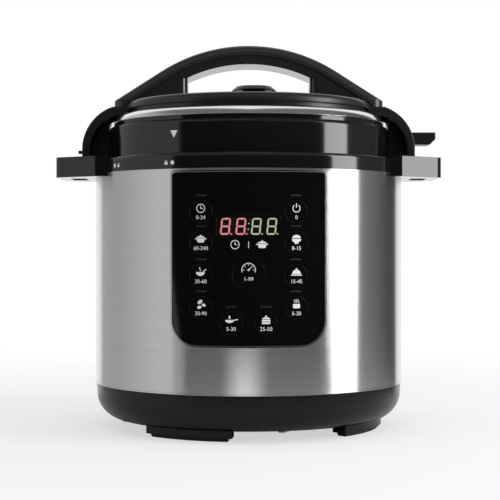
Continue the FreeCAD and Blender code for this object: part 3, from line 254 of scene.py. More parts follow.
class Sheet:
    """Adds nodes to one material or world."""

    def __init__(self, owner):
        owner.use_nodes = True
        self.tree = owner.node_tree
        self.tree.nodes.clear()

    def node(self, kind, settings, sockets, output=0):
        """One node: its settings first, then the values or links of its sockets."""
        made = self.tree.nodes.new(kind)
        for name, value in settings.items():
            setattr(made, name, value)
        for key, value in sockets.items():
            if isinstance(value, Wire):
                self.tree.links.new(value.socket, made.inputs[key])
            else:
                made.inputs[key].default_value = value
        return Wire(self, made.outputs[output]) if made.outputs else made

    def parts(self, kind, sockets, *names):
        """Several outputs of one node."""
        made = self.node(kind, {}, sockets).socket.node
        return [Wire(self, made.outputs[name]) for name in names]

    def math(self, operation, *values):
        """One step of arithmetic."""
        return self.node("ShaderNodeMath", {"operation": operation}, dict(enumerate(values)))

    def mix(self, factor, first, second):
        """Blend of two colours."""
        return self.node("ShaderNodeMix", {"data_type": "RGBA"}, {0: factor, 6: first, 7: second}, output=2)

    def stretched(self, stretch):
        """The piece's own coordinates in metres, stretched along each axis."""
        place = self.node("ShaderNodeTexCoord", {}, {}, output="Object")
        return self.node("ShaderNodeVectorMath", {"operation": "MULTIPLY"}, {0: place, 1: stretch})

    def axes(self):
        """The piece's own coordinates as three values."""
        place = self.node("ShaderNodeTexCoord", {}, {}, output="Object")
        return self.parts("ShaderNodeSeparateXYZ", {0: place}, "X", "Y", "Z")

    def noise(self, stretch, detail=3.0, roughness=0.55):
        """Cloudy value from 0 to 1, with about stretch spots to the metre along each axis."""
        return self.node(
            "ShaderNodeTexNoise", {},
            {"Vector": self.stretched(stretch), "Scale": 1.0, "Detail": detail, "Roughness": roughness})

    def smooth(self, value, low, high):
        """Value eased from 0 at low to 1 at high."""
        settings = {"interpolation_type": "SMOOTHSTEP"}
        return self.node("ShaderNodeMapRange", settings, {"Value": value, 1: low, 2: high})

    def bump(self, height, depth, normal=None):
        """Normal of a surface with a relief that is depth metres deep."""
        sockets = {"Height": height, "Distance": depth, "Strength": 1.0}
        if normal is not None:
            sockets["Normal"] = normal
        return self.node("ShaderNodeBump", {}, sockets)

    def soft_edges(self, radius):
        """Normal with the sharp edges rounded off."""
        return self.node("ShaderNodeBevel", {"samples": 6}, {"Radius": radius})

    def surface(self, sockets):
        """A Principled surface as the tree's result."""
        shader = self.node("ShaderNodeBsdfPrincipled", {}, sockets)
        self.node("ShaderNodeOutputMaterial", {}, {"Surface": shader})
        return shader


def scaled(shade, factor=1.0):
    """A colour made lighter or darker, with full alpha."""
    return (*(min(1.0, part * factor) for part in shade), 1.0)


def even(size):
    """The same stretch along each axis, for spots of a size in metres."""
    return (1 / size,) * 3


def new_sheet(name):
    """An empty material and its nodes."""
    material = bpy.data.materials.new(name)
    return material, Sheet(material)


# Plastics

def plastic(name, shade, gloss, grain=0.3, depth=0.004, mottle=0.12, edge=0.35, **fixed):
    """Moulded plastic with grain, flow marks and uneven gloss. Its lengths are in millimetres."""
    uneven = 0.3
    material, sheet = new_sheet(name)
    flow = sheet.noise(even(FLOW_SPOT), detail=4.0)
    fine = sheet.noise(even(grain * MM), detail=2.0)
    smear = sheet.noise(even(SMEAR_SPOT), detail=5.0, roughness=0.6)
    tint = sheet.mix(flow, scaled(shade, 1 - mottle), scaled(shade, 1 + mottle))
    sockets = {
        "Base Color": tint,
        "Roughness": gloss * (1 - uneven / 2) + smear * (gloss * uneven),
        "Normal": sheet.bump(fine, depth * MM, sheet.soft_edges(edge * MM)),
    }
    sheet.surface({**sockets, **fixed})
    return material


def gloss_black(finish):
    return plastic("gloss_black_plastic", finish.gloss, 0.10, grain=1.2, depth=0.0008)


def matte_black(finish):
    return plastic("grained_black_plastic", finish.matte, 0.34, grain=0.35, depth=0.008, edge=2.0)


def handle_black(finish):
    return plastic("handle_black_plastic", finish.handle, 0.30, grain=0.4, depth=0.006, edge=0.5)


def grip_black(finish):
    return plastic("grip_black_plastic", finish.handle, 0.07, grain=0.8, depth=0.001, edge=0.6)


def base_black(finish):
    return plastic(
        "base_black_plastic", finish.base, 0.21, grain=0.4, depth=0.006, edge=0.6,
        **{"Specular IOR Level": 0.26})


def foot_rubber(finish):
    return plastic("foot_rubber", finish.rubber, 0.68, grain=0.5, depth=0.02, mottle=0.25)


def panel_black(finish):
    return plastic("panel_gloss", finish.panel, 0.06, grain=2.5, depth=0.0005, edge=0.2)


def component_black(finish):
    return plastic("component_black", finish.component, 0.5, grain=0.25, depth=0.01)


def inlet_black(finish):
    return plastic("inlet_black", finish.component, 0.45, grain=0.3, depth=0.012)


def ceramic_white(finish):
    return plastic("ceramic_white", finish.ceramic, 0.6, grain=0.4, depth=0.02, mottle=0.06)


def seal_silicone(finish):
    return plastic(
        "seal_silicone", finish.silicone, 0.5, grain=0.8, depth=0.01, mottle=0.05,
        **{"Subsurface Weight": 0.25, "Subsurface Radius": (0.004, 0.004, 0.004)})


def display_smoke(finish):
    return plastic("display_smoke", finish.smoke, 0.05, grain=2.5, depth=0.0004, edge=0.2, Alpha=0.30)


def cup_clear(finish):
    return plastic("cup_clear_plastic", finish.clear, 0.08, grain=3, depth=0.002, mottle=0.03, Alpha=0.38)


# Metals

def metal(name, shade, gloss, brush, swing=0.08, depth=0.002, edge=0.3, **fixed):
    """Metal whose finish runs along the axes where brush is small. Depth and edge are in millimetres."""
    broader = 7
    fine_share = 0.6
    marked = 0.24
    clouded = 0.12
    material, sheet = new_sheet(name)
    lines = sheet.noise(brush, detail=4.0, roughness=0.65)
    broad = sheet.noise(tuple(part / broader for part in brush), detail=3.0)
    cloud = sheet.noise(even(CLOUD_SPOT), detail=3.0)
    marks = lines * fine_share + broad * (1 - fine_share)
    tint = sheet.mix(marks, scaled(shade, 1 - swing), scaled(shade, 1 + swing))
    even_gloss = gloss * (1 - (marked + clouded) / 2)
    sockets = {
        "Base Color": tint,
        "Metallic": 1.0,
        "Roughness": even_gloss + marks * (gloss * marked) + cloud * (gloss * clouded),
        "Normal": sheet.bump(lines, depth * MM, sheet.soft_edges(edge * MM)),
    }
    sheet.surface({**sockets, **fixed})
    return material


def brushed_jacket(finish):
    return metal(
        "brushed_jacket_steel", finish.jacket, 0.25, (8, 8, 1600), swing=0.09, depth=0.0004,
        **{"Anisotropic": 0.95, "Anisotropic Rotation": 0.25})


def satin_steel(finish):
    return metal("satin_steel", finish.satin, 0.28, (40, 40, 900))


def zinc_plate(finish):
    return metal("zinc_plate", finish.zinc, 0.36, even(0.9 * MM), swing=0.12)


def bright_trim(finish):
    return metal(
        "bright_trim", finish.chrome, 0.16, (25, 25, 500), swing=0.03, depth=0.0005,
        **{"Anisotropic": 0.4, "Anisotropic Rotation": 0.25})


def bezel_silver(finish):
    return metal("bezel_silver", finish.bezel, 0.20, even(1.5 * MM), swing=0.05, depth=0.001)


def cast_metal(finish):
    return metal("cast_metal", finish.cast, 0.42, even(1.1 * MM), swing=0.12, depth=0.03)


def element_sheath(finish):
    return metal("element_sheath", finish.sheath, 0.45, even(2.5 * MM), swing=0.3, depth=0.01)


def blade_brass(finish):
    return metal("blade_brass", finish.brass, 0.25, (900, 60, 900))


def pot_metal(finish):
    """Bare satin outside, speckled dark coating inside."""
    material, sheet = new_sheet("pot_metal_and_coating")
    x, y, z = sheet.axes()
    across = sheet.math("SQRT", x * x + y * y)
    wall = 0.6 * MM
    rim_w = 2.5 * MM
    fleck = 0.9 * MM
    relief = 0.004 * MM
    inside = (across < POT_HIGH.x - rim_w) * (z > POT_LOW.z + wall) * (z < POT_HIGH.z - wall)
    speck = sheet.noise(even(fleck), detail=1.0)
    lines = sheet.noise((30, 30, 1200), detail=4.0)
    coat = sheet.mix(sheet.smooth(speck, 0.62, 0.70), scaled(finish.coating), scaled(finish.coating, 4.5))
    bare = sheet.mix(lines, scaled(finish.pot, 0.92), scaled(finish.pot, 1.06))
    sheet.surface({
        "Base Color": sheet.mix(inside, bare, coat),
        "Metallic": 1 - inside,
        "Roughness": 0.26 + lines * 0.08 + inside * 0.14,
        "Normal": sheet.bump(lines * (1 - inside) + speck * inside, relief, sheet.soft_edges(0.4 * MM)),
    })
    return material


def board_green(finish):
    """Coated board with traces that run square to each other."""
    material, sheet = new_sheet("board_green")
    upright = sheet.node(
        "ShaderNodeTexBrick", {"offset": 0.5, "squash": 0.6},
        {"Vector": sheet.stretched(even(9 * MM)), "Scale": 1.0, "Mortar Size": 0.06}, output="Fac")
    speck = sheet.noise(even(2.0 * MM), detail=2.0)
    traces = upright * sheet.smooth(speck, 0.40, 0.46)
    sheet.surface({
        "Base Color": sheet.mix(traces, scaled(finish.board), scaled(finish.copper)),
        "Roughness": 0.30 + speck * 0.12,
        "Normal": sheet.bump(traces, 0.03 * MM, sheet.soft_edges(0.2 * MM)),
    })
    return material


# Inks and lamps

def ink(name, shade):
    """Screen-printed ink with slightly uneven cover."""
    material, sheet = new_sheet(name)
    cover = sheet.noise(even(0.35 * MM), detail=2.0)
    sheet.surface({
        "Base Color": sheet.mix(cover, scaled(shade, 0.90), scaled(shade, 1.05)),
        "Roughness": 0.42 + cover * 0.12,
        "Normal": sheet.bump(cover, 0.004 * MM),
    })
    return material


def white_ink(finish):
    return ink("white_ink", finish.ink)


def faint_ink(finish):
    return ink("unlit_lamps", finish.faint_ink)


def lamp(name, shade, strength):
    """Lit segment behind a diffuser, a little brighter along its grain."""
    material, sheet = new_sheet(name)
    cloud = sheet.noise(even(1.4 * MM), detail=1.0)
    glow = sheet.mix(cloud, scaled(shade, 0.88), scaled(shade, 1.08))
    sheet.surface({
        "Base Color": scaled(shade, 0.2),
        "Roughness": 0.5,
        "Emission Color": glow,
        "Emission Strength": strength,
    })
    return material


def red_digit(finish):
    return lamp("red_digit", finish.red_digit, 1.3)


def red_glow(finish):
    return lamp("red_digit_glow", finish.red_glow, 1.0)


def green_digit(finish):
    return lamp("pale_digit", finish.green_digit, 1.2)


def green_glow(finish):
    return lamp("pale_digit_glow", finish.green_glow, 1.0)


def finished(maker):
    """The material that a maker makes, made once."""
    name = "made_by_" + maker.__name__
    stored = bpy.context.scene.get(name)
    if stored is None:
        stored = maker(bpy.context.scene.cooker_finish)
        bpy.context.scene[name] = stored
    return stored


def dress(maker, *nodes):
    """Give CAD nodes a finish."""
    for name in nodes:
        if name not in frame["nodes"]:
            raise RuntimeError("no node named " + name)
        data = frame["nodes"][name].data
        data.materials.clear()
        data.materials.append(finished(maker))


# Flat shapes for prints: lists of faces, each a list of points in millimetres, x to the right and y up

def bar(x0, y0, x1, y1, width):
    """Straight bar between two points."""
    along = Vector((x1 - x0, y1 - y0)).normalized() * (width / 2)
    side = Vector((-along.y, along.x))
    ends = [(x0, y0, 1), (x1, y1, 1), (x1, y1, -1), (x0, y0, -1)]
    return [[(x + side.x * way, y + side.y * way) for x, y, way in ends]]


def band(x, y, inner, outer, start=0.0, end=360.0, steps=28):
    """Part of a flat ring, between two angles in degrees."""
    faces = []
    turns = [math.radians(start + (end - start) * step / steps) for step in range(steps + 1)]
    for first, second in zip(turns, turns[1:]):
        corners = [(inner, first), (outer, first), (outer, second), (inner, second)]
        faces.append([(x + reach * math.cos(turn), y + reach * math.sin(turn)) for reach, turn in corners])
    return faces


def oval(x, y, wide, tall, tilt=0.0, start=0.0, end=360.0, steps=28):
    """Filled ellipse, or the part of one between two angles in degrees."""
    lean = math.radians(tilt)
    count = steps if end - start >= 360 else steps + 1
    points = []
    for step in range(count):
        turn = math.radians(start + (end - start) * step / steps)
        u = wide / 2 * math.cos(turn)
        v = tall / 2 * math.sin(turn)
        across = u * math.cos(lean) - v * math.sin(lean)
        up = u * math.sin(lean) + v * math.cos(lean)
        points.append((x + across, y + up))
    return [points]


def wave(x, y, tall, sway, width, steps=10):
    """Upright wavy line."""
    faces = []
    spots = []
    for step in range(steps + 1):
        part = step / steps
        spots.append((x + sway * math.sin(part * math.tau), y + tall * part))
    half = width / 2
    for (x0, y0), (x1, y1) in zip(spots, spots[1:]):
        faces.append([(x0 - half, y0), (x0 + half, y0), (x1 + half, y1), (x1 - half, y1)])
    return faces


def pot_symbol():
    """Lidded pot with two side grips."""
    body = [[(-3.4, 0.6), (-3.0, -2.2), (-2.2, -2.8), (2.2, -2.8), (3.0, -2.2), (3.4, 0.6)]]
    lid = oval(0, 1.0, 7.2, 3.2, start=0, end=180)
    grips = bar(-4.8, 0.2, -3.5, 0.2, 0.9) + bar(3.5, 0.2, 4.8, 0.2, 0.9)
    return body + lid + oval(0, 3.0, 1.4, 1.0) + grips


def ladle_symbol():
    """Bowl with a ladle and one wisp of steam."""
    bowl = oval(-0.3, 0.2, 7.6, 6.2, start=180, end=360)
    return bowl + bar(2.0, 0.6, 4.6, 2.4, 0.8) + wave(-0.6, 1.0, 3.2, 0.45, 0.6)


def beans_symbol():
    """Three beans."""
    return (oval(-0.6, 2.0, 4.6, 2.8, tilt=35) + oval(2.6, -0.6, 3.6, 2.3, tilt=-25)
            + oval(-1.2, -2.4, 3.8, 2.5, tilt=15))


def rice_symbol():
    """Heaped bowl on a foot."""
    bowl = oval(0, 0.2, 8.0, 6.4, start=180, end=360)
    heap = oval(0, 0.8, 7.2, 5.4, start=0, end=180)
    return bowl + heap + bar(-1.6, -3.5, 1.6, -3.5, 0.8)


def dome_symbol():
    """Serving dome on a plate."""
    dome = oval(0, -1.4, 7.4, 7.4, start=0, end=180)
    return dome + oval(0, 2.9, 1.3, 1.1) + bar(-4.6, -2.2, 4.6, -2.2, 0.9)


def steamer_symbol():
    """Open pan with steam."""
    pan = [[(-3.0, 0.4), (-3.0, -2.6), (-2.4, -3.2), (2.4, -3.2), (3.0, -2.6), (3.0, 0.4)]]
    steam = [wave(x, 1.2, 2.8, 0.4, 0.6) for x in (-1.6, 0.0, 1.6)]
    return pan + [face for wisp in steam for face in wisp]


def skillet_symbol():
    """Frying pan with a small flame over it."""
    pan = oval(-1.2, 0.0, 7.4, 5.0, start=180, end=360)
    return pan + bar(2.4, -0.2, 5.6, 0.4, 0.9) + oval(-1.2, 2.1, 1.5, 2.8, tilt=8)


def cake_symbol():
    """Layered cake with a berry."""
    layers = [bar(-3.4, y, 3.4, y, 1.5) for y in (-2.6, -0.6)]
    return layers[0] + layers[1] + oval(0, 0.6, 6.6, 3.2, start=0, end=180) + oval(0, 3.0, 1.5, 1.5)


def clock_symbol():
    """Clock face with two hands."""
    return band(0, 0, 3.1, 3.7) + bar(0, -0.3, 0, 2.2, 0.6) + bar(-0.3, 0, 1.8, 0, 0.6)


def standby_symbol():
    """Open ring with an upright bar."""
    return band(0, 0, 2.7, 3.4, start=125, end=415) + bar(0, 0.6, 0, 4.0, 0.7)


def gauge_symbol():
    """Dial with a needle."""
    ticks = [bar(3.6 * math.cos(a), 3.6 * math.sin(a), 4.6 * math.cos(a), 4.6 * math.sin(a), 0.55)
             for a in (math.radians(turn) for turn in (0, 45, 90, 135, 180))]
    dial = band(0, 0, 5.2, 5.8, start=-20, end=200) + oval(0, 0, 1.6, 1.6)
    return dial + [face for tick in ticks for face in tick] + bar(0, 0, 2.2, 2.2, 0.6)


def padlock(shackle_turn):
    """Padlock whose shackle is closed or swung aside."""
    body = [[(-1.5, -1.6), (1.5, -1.6), (1.5, 0.4), (-1.5, 0.4)]]
    return body + band(shackle_turn, 0.6, 0.75, 1.2, start=0, end=180, steps=14)


def numeral(text, height):
    """Faces of a plain number, in millimetres."""
    curve = bpy.data.curves.new("numeral", "FONT")
    curve.body = text
    curve.size = height / MM
    curve.align_x = "CENTER"
    curve.align_y = "CENTER"
    holder = bpy.data.objects.new("numeral", curve)
    bpy.context.scene.collection.objects.link(holder)
    bpy.context.view_layer.update()
    mesh = bpy.data.meshes.new_from_object(holder)
    faces = [[tuple(mesh.vertices[index].co.xy) for index in face.vertices] for face in mesh.polygons]
    bpy.data.meshes.remove(mesh)
    bpy.data.objects.remove(holder)
    bpy.data.curves.remove(curve)
    return faces


def shifted(faces, x, y):
    """Faces moved across and up, in millimetres."""
    return [[(u + x, v + y) for u, v in face] for face in faces]


def on_drum(radius, turn, height, facing=1):
    """Places flat points on a drum about the cooker's axis, outside it or, facing -1, inside it."""
    def place(point):
        spot = turn + facing * point.x / radius
        reach = radius + facing * point.z
        return Vector((reach * math.sin(spot), -reach * math.cos(spot), height + point.y))
    return place


def on_front(x, y, z):
    """Places flat points on a flat face that looks towards -Y."""
    def place(point):
        return Vector((x + point.x, y - point.z, z + point.y))
    return place


def printed(name, faces, place, maker, body, ink_t, slice_w):
    """Thin print made of flat faces, sliced so that it bends with the face that carries it."""
    mesh = bmesh.new()
    sunk = ink_t / 2
    for face in faces:
        mesh.faces.new([mesh.verts.new((x * MM, y * MM, -sunk)) for x, y in face])
    bmesh.ops.remove_doubles(mesh, verts=mesh.verts, dist=ink_t / 10)
    spots = [vert.co.x for vert in mesh.verts]
    cut = min(spots) + slice_w
    while cut < max(spots):
        everything = mesh.verts[:] + mesh.edges[:] + mesh.faces[:]
        bmesh.ops.bisect_plane(mesh, geom=everything, plane_co=(cut, 0, 0), plane_no=(1, 0, 0))
        cut += slice_w
    raised = bmesh.ops.extrude_face_region(mesh, geom=mesh.faces[:], use_keep_orig=True)
    for item in raised["geom"]:
        if isinstance(item, bmesh.types.BMVert):
            item.co.z += sunk + ink_t
    for vert in mesh.verts:
        vert.co = place(vert.co)
    bmesh.ops.recalc_face_normals(mesh, faces=mesh.faces)
    return piece(name, mesh, maker, body)


def piece(name, mesh, maker, body):
    """A finished mesh as a piece that rides on a body."""
    data = bpy.data.meshes.new(name)
    mesh.to_mesh(data)
    mesh.free()
    data.materials.append(finished(maker))
    made = bpy.data.objects.new(name, data)
    bpy.context.scene.collection.objects.link(made)
    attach(made, body)
    return made


def middle(node):
    """Middle of a CAD node's box."""
    low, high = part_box(node)
    return (low + high) / 2


class COOKER_OT_stage(Operator):
    """Lay the pale floor, set the studio light and the camera"""

    bl_idname = "cooker.stage"
    bl_label = "Studio"

    sensor_w = 36.0
    top_place = (0, -0.25, 1.9)
    floor_sides = 128
    dust_spot = 0.2
    dust_swing = 0.01
    # Share of white in the near floor, and the radii over which it grows to all
    near_white = 0.6
    white_edge = (0.25, 0.9)
    near_blur = 0.1

    # Where the room's walls start and fade, in degrees round the cooker from the front
    left_edge = (55.5, 58.5)
    left_fade = (62, 118)
    left_lean = 9
    right_edge = (86, 90)
    right_fade = (88, 142)
    back_edge = (141, 147)
    # How much of their brightness the side walls lose as they fade
    left_loss = 0.32
    right_loss = 0.72
    # Where the dark front gets lighter, in degrees above or below the horizon
    glow_edge = (7, 30)
    # Where the left wall's lean, the ground and the ceiling start, as heights on a ball of radius 1
    lean_edge = (0.0, 0.1)
    ground_edge = (0.5, 0.8)
    ceiling_edge = (0.6, 0.85)

    def execute(self, context):
        studio = context.scene.cooker_studio
        context.scene.view_settings.view_transform = "Standard"
        self.lay_floor(context, studio)
        self.light_room(context, studio)
        self.hang_lamps(context, studio)
        self.set_camera(context, studio)
        return {"FINISHED"}

    def lay_floor(self, context, studio):
        """Pale floor that fades to white. Shiny faces show only the part near the cooker."""
        mesh = bmesh.new()
        bmesh.ops.create_circle(mesh, cap_ends=True, radius=studio.floor_r, segments=self.floor_sides)
        data = bpy.data.meshes.new("floor")
        mesh.to_mesh(data)
        mesh.free()
        floor = bpy.data.objects.new("floor", data)
        material, sheet = new_sheet("pale_floor")
        x, y, _ = sheet.axes()
        across = sheet.math("SQRT", x * x + y * y)
        camera, glossy = sheet.parts("ShaderNodeLightPath", {}, "Is Camera Ray", "Is Glossy Ray")
        dust = sheet.noise(even(self.dust_spot), detail=2.0)
        swing = self.dust_swing
        paint = sheet.mix(dust, scaled(studio.floor, 1 - swing), scaled(studio.floor, 1 + swing))
        near = sheet.node("ShaderNodeBsdfDiffuse", {}, {"Color": paint})
        white = sheet.node("ShaderNodeEmission", {}, {"Color": (1, 1, 1, 1), "Strength": 1.0})
        fade = sheet.smooth(across, *self.white_edge)
        away = camera * (self.near_white + fade * (1 - self.near_white))
        both = sheet.node("ShaderNodeMixShader", {}, {0: away, 1: near, 2: white})
        clear = sheet.node("ShaderNodeBsdfTransparent", {}, {})
        blur = studio.near_r * self.near_blur
        beyond = glossy * sheet.smooth(across, studio.near_r - blur, studio.near_r + blur)
        shown = sheet.node("ShaderNodeMixShader", {}, {0: beyond, 1: both, 2: clear})
        sheet.node("ShaderNodeOutputMaterial", {}, {"Surface": shown})
        data.materials.append(material)
        context.scene.collection.objects.link(floor)

    def light_room(self, context, studio):
        """Dim room with a pale wall at the left and a white one behind, plain for light that scatters."""
        world = bpy.data.worlds.new("studio_room")
        context.scene.world = world
        sheet = Sheet(world)
        way = sheet.node("ShaderNodeTexCoord", {}, {}, output="Generated")
        x, y, z = sheet.parts("ShaderNodeSeparateXYZ", {0: way}, "X", "Y", "Z")
        turn = sheet.math("ARCTAN2", x, 0 - y) * math.degrees(1)
        rise = sheet.math("ABSOLUTE", sheet.math("ARCSINE", z)) * math.degrees(1)
        lean = sheet.smooth(0 - z, *self.lean_edge) * self.left_lean
        left = sheet.smooth(lean - turn, *self.left_edge)
        right = sheet.smooth(turn, *self.right_edge)
        behind = sheet.smooth(sheet.math("ABSOLUTE", turn), *self.back_edge)
        front = studio.front + sheet.smooth(rise, *self.glow_edge) * studio.front_glow
        left_wall = studio.left * (1 - sheet.smooth(0 - turn, *self.left_fade) * self.left_loss)
        right_screen = studio.right * (1 - sheet.smooth(turn, *self.right_fade) * self.right_loss)
        walls = front * (1 - left) * (1 - right) + left * left_wall + right * right_screen
        walls = walls + behind * (studio.behind - walls)
        below = sheet.smooth(0 - z, *self.ground_edge)
        above = sheet.smooth(z, *self.ceiling_edge) * (1 - behind)
        room = walls + above * (studio.ceiling - walls) + below * (studio.below - walls)
        camera, glossy, through = sheet.parts(
            "ShaderNodeLightPath", {}, "Is Camera Ray", "Is Glossy Ray", "Is Transmission Ray")
        mirror = sheet.math("MAXIMUM", glossy, through)
        strength = camera + (1 - camera) * (mirror * room + (1 - mirror) * studio.fill)
        shade = sheet.node("ShaderNodeBackground", {}, {"Color": (1, 1, 1, 1), "Strength": strength})
        sheet.node("ShaderNodeOutputWorld", {}, {"Surface": shade})

    def hang_lamps(self, context, studio):
        """Softboxes at the right and overhead, and a low card in front for the jacket alone."""
        reach = studio.box_distance
        side = Vector((reach * math.sin(studio.box_at), -reach * math.cos(studio.box_at), studio.box_h / 2))
        self.softbox(context, "right_softbox", side, (studio.box_w, studio.box_h), studio.box_level)
        low = Vector((studio.card_x, -studio.card_y, studio.card_h / 2))
        card = self.softbox(context, "front_card", low, (studio.card_w, studio.card_h), studio.card_level)
        card.visible_diffuse = False
        jacket = bpy.data.collections.new("lit_by_front_card")
        jacket.objects.link(frame["nodes"]["outer_shell"])
        card.light_linking.receiver_collection = jacket
        self.fade_sides(card.data)
        top = Vector(self.top_place)
        overhead = self.softbox(context, "top_softbox", top, (studio.top_w, studio.top_w), studio.top_level)
        overhead.visible_glossy = False

    def fade_sides(self, data):
        """Let a lamp fade out from its middle to its left and right sides."""
        sheet = Sheet(data)
        spot = sheet.node("ShaderNodeNewGeometry", {}, {}, output="Parametric")
        across, = sheet.parts("ShaderNodeSeparateXYZ", {0: spot}, "X")
        fade = 1 - sheet.smooth(sheet.math("ABSOLUTE", across - 0.5), 0.0, 0.5)
        shine = sheet.node("ShaderNodeEmission", {}, {"Strength": fade})
        sheet.node("ShaderNodeOutputLight", {}, {"Surface": shine})

    def softbox(self, context, name, place, size, brightness):
        """Rectangular lamp that looks at the cooker, with a power that goes with its face."""
        data = bpy.data.lights.new(name, "AREA")
        data.shape = "RECTANGLE"
        data.size, data.size_y = size
        data.energy = brightness * math.pi * size[0] * size[1]
        lamp_object = bpy.data.objects.new(name, data)
        lamp_object.location = place
        target = Vector((0, 0, CAD_BOX[1].z / 2))
        lamp_object.rotation_euler = (target - place).to_track_quat("-Z", "Y").to_euler()
        lamp_object.visible_camera = False
        context.scene.collection.objects.link(lamp_object)
        return lamp_object

    def set_camera(self, context, studio):
        """Level camera in front of the cooker."""
        data = bpy.data.cameras.new("camera")
        data.lens = studio.lens
        data.sensor_width = self.sensor_w
        data.shift_x = studio.shift_x
        data.shift_y = studio.shift_y
        eye = bpy.data.objects.new("camera", data)
        eye.location = (0, -studio.distance, studio.height)
        eye.rotation_euler = (math.pi / 2, 0, 0)
        context.scene.collection.objects.link(eye)
        context.scene.camera = eye


class COOKER_OT_jacket(Operator):
    """Finish the steel jacket and the base under it"""

    bl_idname = "cooker.jacket"
    bl_label = "Jacket and base"

    def execute(self, context):
        dress(brushed_jacket, "outer_shell")
        dress(base_black, "base_housing", "bottom_plate")
        dress(foot_rubber, "foot_pads")
        dress(zinc_plate, "base_screws", "tie_rods")
        return {"FINISHED"}


class COOKER_OT_collar(Operator):
    """Finish the collar with its ears and the steel ring inside it"""

    bl_idname = "cooker.collar"
    bl_label = "Collar"

    def execute(self, context):
        dress(gloss_black, "collar_ring")
        dress(satin_steel, "locking_ring")
        dress(zinc_plate, "collar_screws")
        return {"FINISHED"}


class COOKER_OT_lid(Operator):
    """Finish the lid's skirt, trim ring, top cover and inner pieces"""

    bl_idname = "cooker.lid"
    bl_label = "Lid"

    def execute(self, context):
        dress(gloss_black, "lid_skirt")
        dress(bright_trim, "lid_trim_ring")
        dress(matte_black, "lid_top_cover", "lid_rest_fin")
        dress(satin_steel, "lid_liner", "seal_rack", "lid_studs")
        dress(seal_silicone, "sealing_ring")
        dress(zinc_plate, "lid_screws")
        return {"FINISHED"}


class COOKER_OT_handle(Operator):
    """Finish the two halves of the handle"""

    bl_idname = "cooker.handle"
    bl_label = "Handle"

    def execute(self, context):
        dress(handle_black, "handle_cover")
        dress(grip_black, "handle_grip")
        return {"FINISHED"}


class COOKER_OT_valves(Operator):
    """Finish the steam valve, its pipe and shield and the float pin"""

    bl_idname = "cooker.valves"
    bl_label = "Valves"

    def execute(self, context):
        dress(matte_black, "steam_valve_knob")
        dress(satin_steel, "vent_pipe", "anti_block_shield", "float_valve")
        return {"FINISHED"}


class COOKER_OT_panel(Operator):
    """Finish the panel, its frame and its keys"""

    bl_idname = "cooker.panel"
    bl_label = "Control panel"

    def execute(self, context):
        dress(bezel_silver, "panel_bezel")
        dress(panel_black, "panel_fascia", *(name for name in frame["nodes"] if name.startswith("key_")))
        dress(board_green, "control_board")
        dress(component_black, "tact_switches")
        dress(zinc_plate, "board_screws")
        return {"FINISHED"}


class COOKER_OT_display(Operator):
    """Light the display's digits behind their window"""

    bl_idname = "cooker.display"
    bl_label = "Display"

    slant = 0.10
    colon_rise = 2.4
    colon_dot = 1.1
    point_gap = 1.2
    tip_gap = 0.12
    digits = (
        ("red", red_digit, red_glow, (-1.5, -0.5)),
        ("pale", green_digit, green_glow, (0.5, 1.5)),
    )

    def execute(self, context):
        marks = context.scene.cooker_marks
        dress(display_smoke, "display_lens")
        dress(component_black, "led_display")
        centre = middle("led_display")
        uncut = LED_HIGH.x - LED_LOW.x
        for name, lit, halo, spots in self.digits:
            layers = ((halo, marks.glow, 0, "glow"), (lit, marks.segment, 1, "digits"))
            for maker, width, lift, part in layers:
                faces = []
                for spot in spots:
                    faces += shifted(self.eight(marks, width), spot * marks.digit_pitch / MM, 0)
                place = on_front(centre.x, LED_LOW.y - lift * marks.ink * 2, centre.z)
                printed("%s_%s" % (name, part), faces, place, maker, "cooker",
                        marks.ink, uncut)
        colon = []
        for rise in (-self.colon_rise, self.colon_rise):
            colon += oval(rise * self.slant, rise, self.colon_dot, self.colon_dot)
        place = on_front(centre.x, LED_LOW.y - marks.ink * 2, centre.z)
        printed("pale_colon", colon, place, green_digit, "cooker", marks.ink, uncut)
        return {"FINISHED"}

    def eight(self, marks, width):
        """All seven segments of a digit and its point, leaning to the right."""
        half_w = marks.digit_w / MM / 2
        half_h = marks.digit_h / MM / 2
        wide = width / MM
        lines = [(-half_w, y, half_w, y) for y in (-half_h, 0, half_h)]
        for x in (-half_w, half_w):
            lines += [(x, -half_h, x, 0), (x, 0, x, half_h)]
        faces = [self.segment(line, wide, marks.segment / MM) for line in lines]
        faces += oval(half_w + wide / 2 + self.point_gap, -half_h, wide, wide)
        return [[(x + self.slant * y, y) for x, y in face] for face in faces]

    def segment(self, line, wide, lit):
        """One six-sided segment along a line, with pointed ends."""
        start, end = Vector(line[:2]), Vector(line[2:])
        along = (end - start).normalized()
        side = Vector((-along.y, along.x)) * (wide / 2)
        gap = lit * self.tip_gap
        tip = along * gap
        shoulder = along * (gap + wide / 2)
        return [tuple(point) for point in (
            start + tip, start + shoulder - side, end - shoulder - side, end - tip,
            end - shoulder + side, start + shoulder + side)]


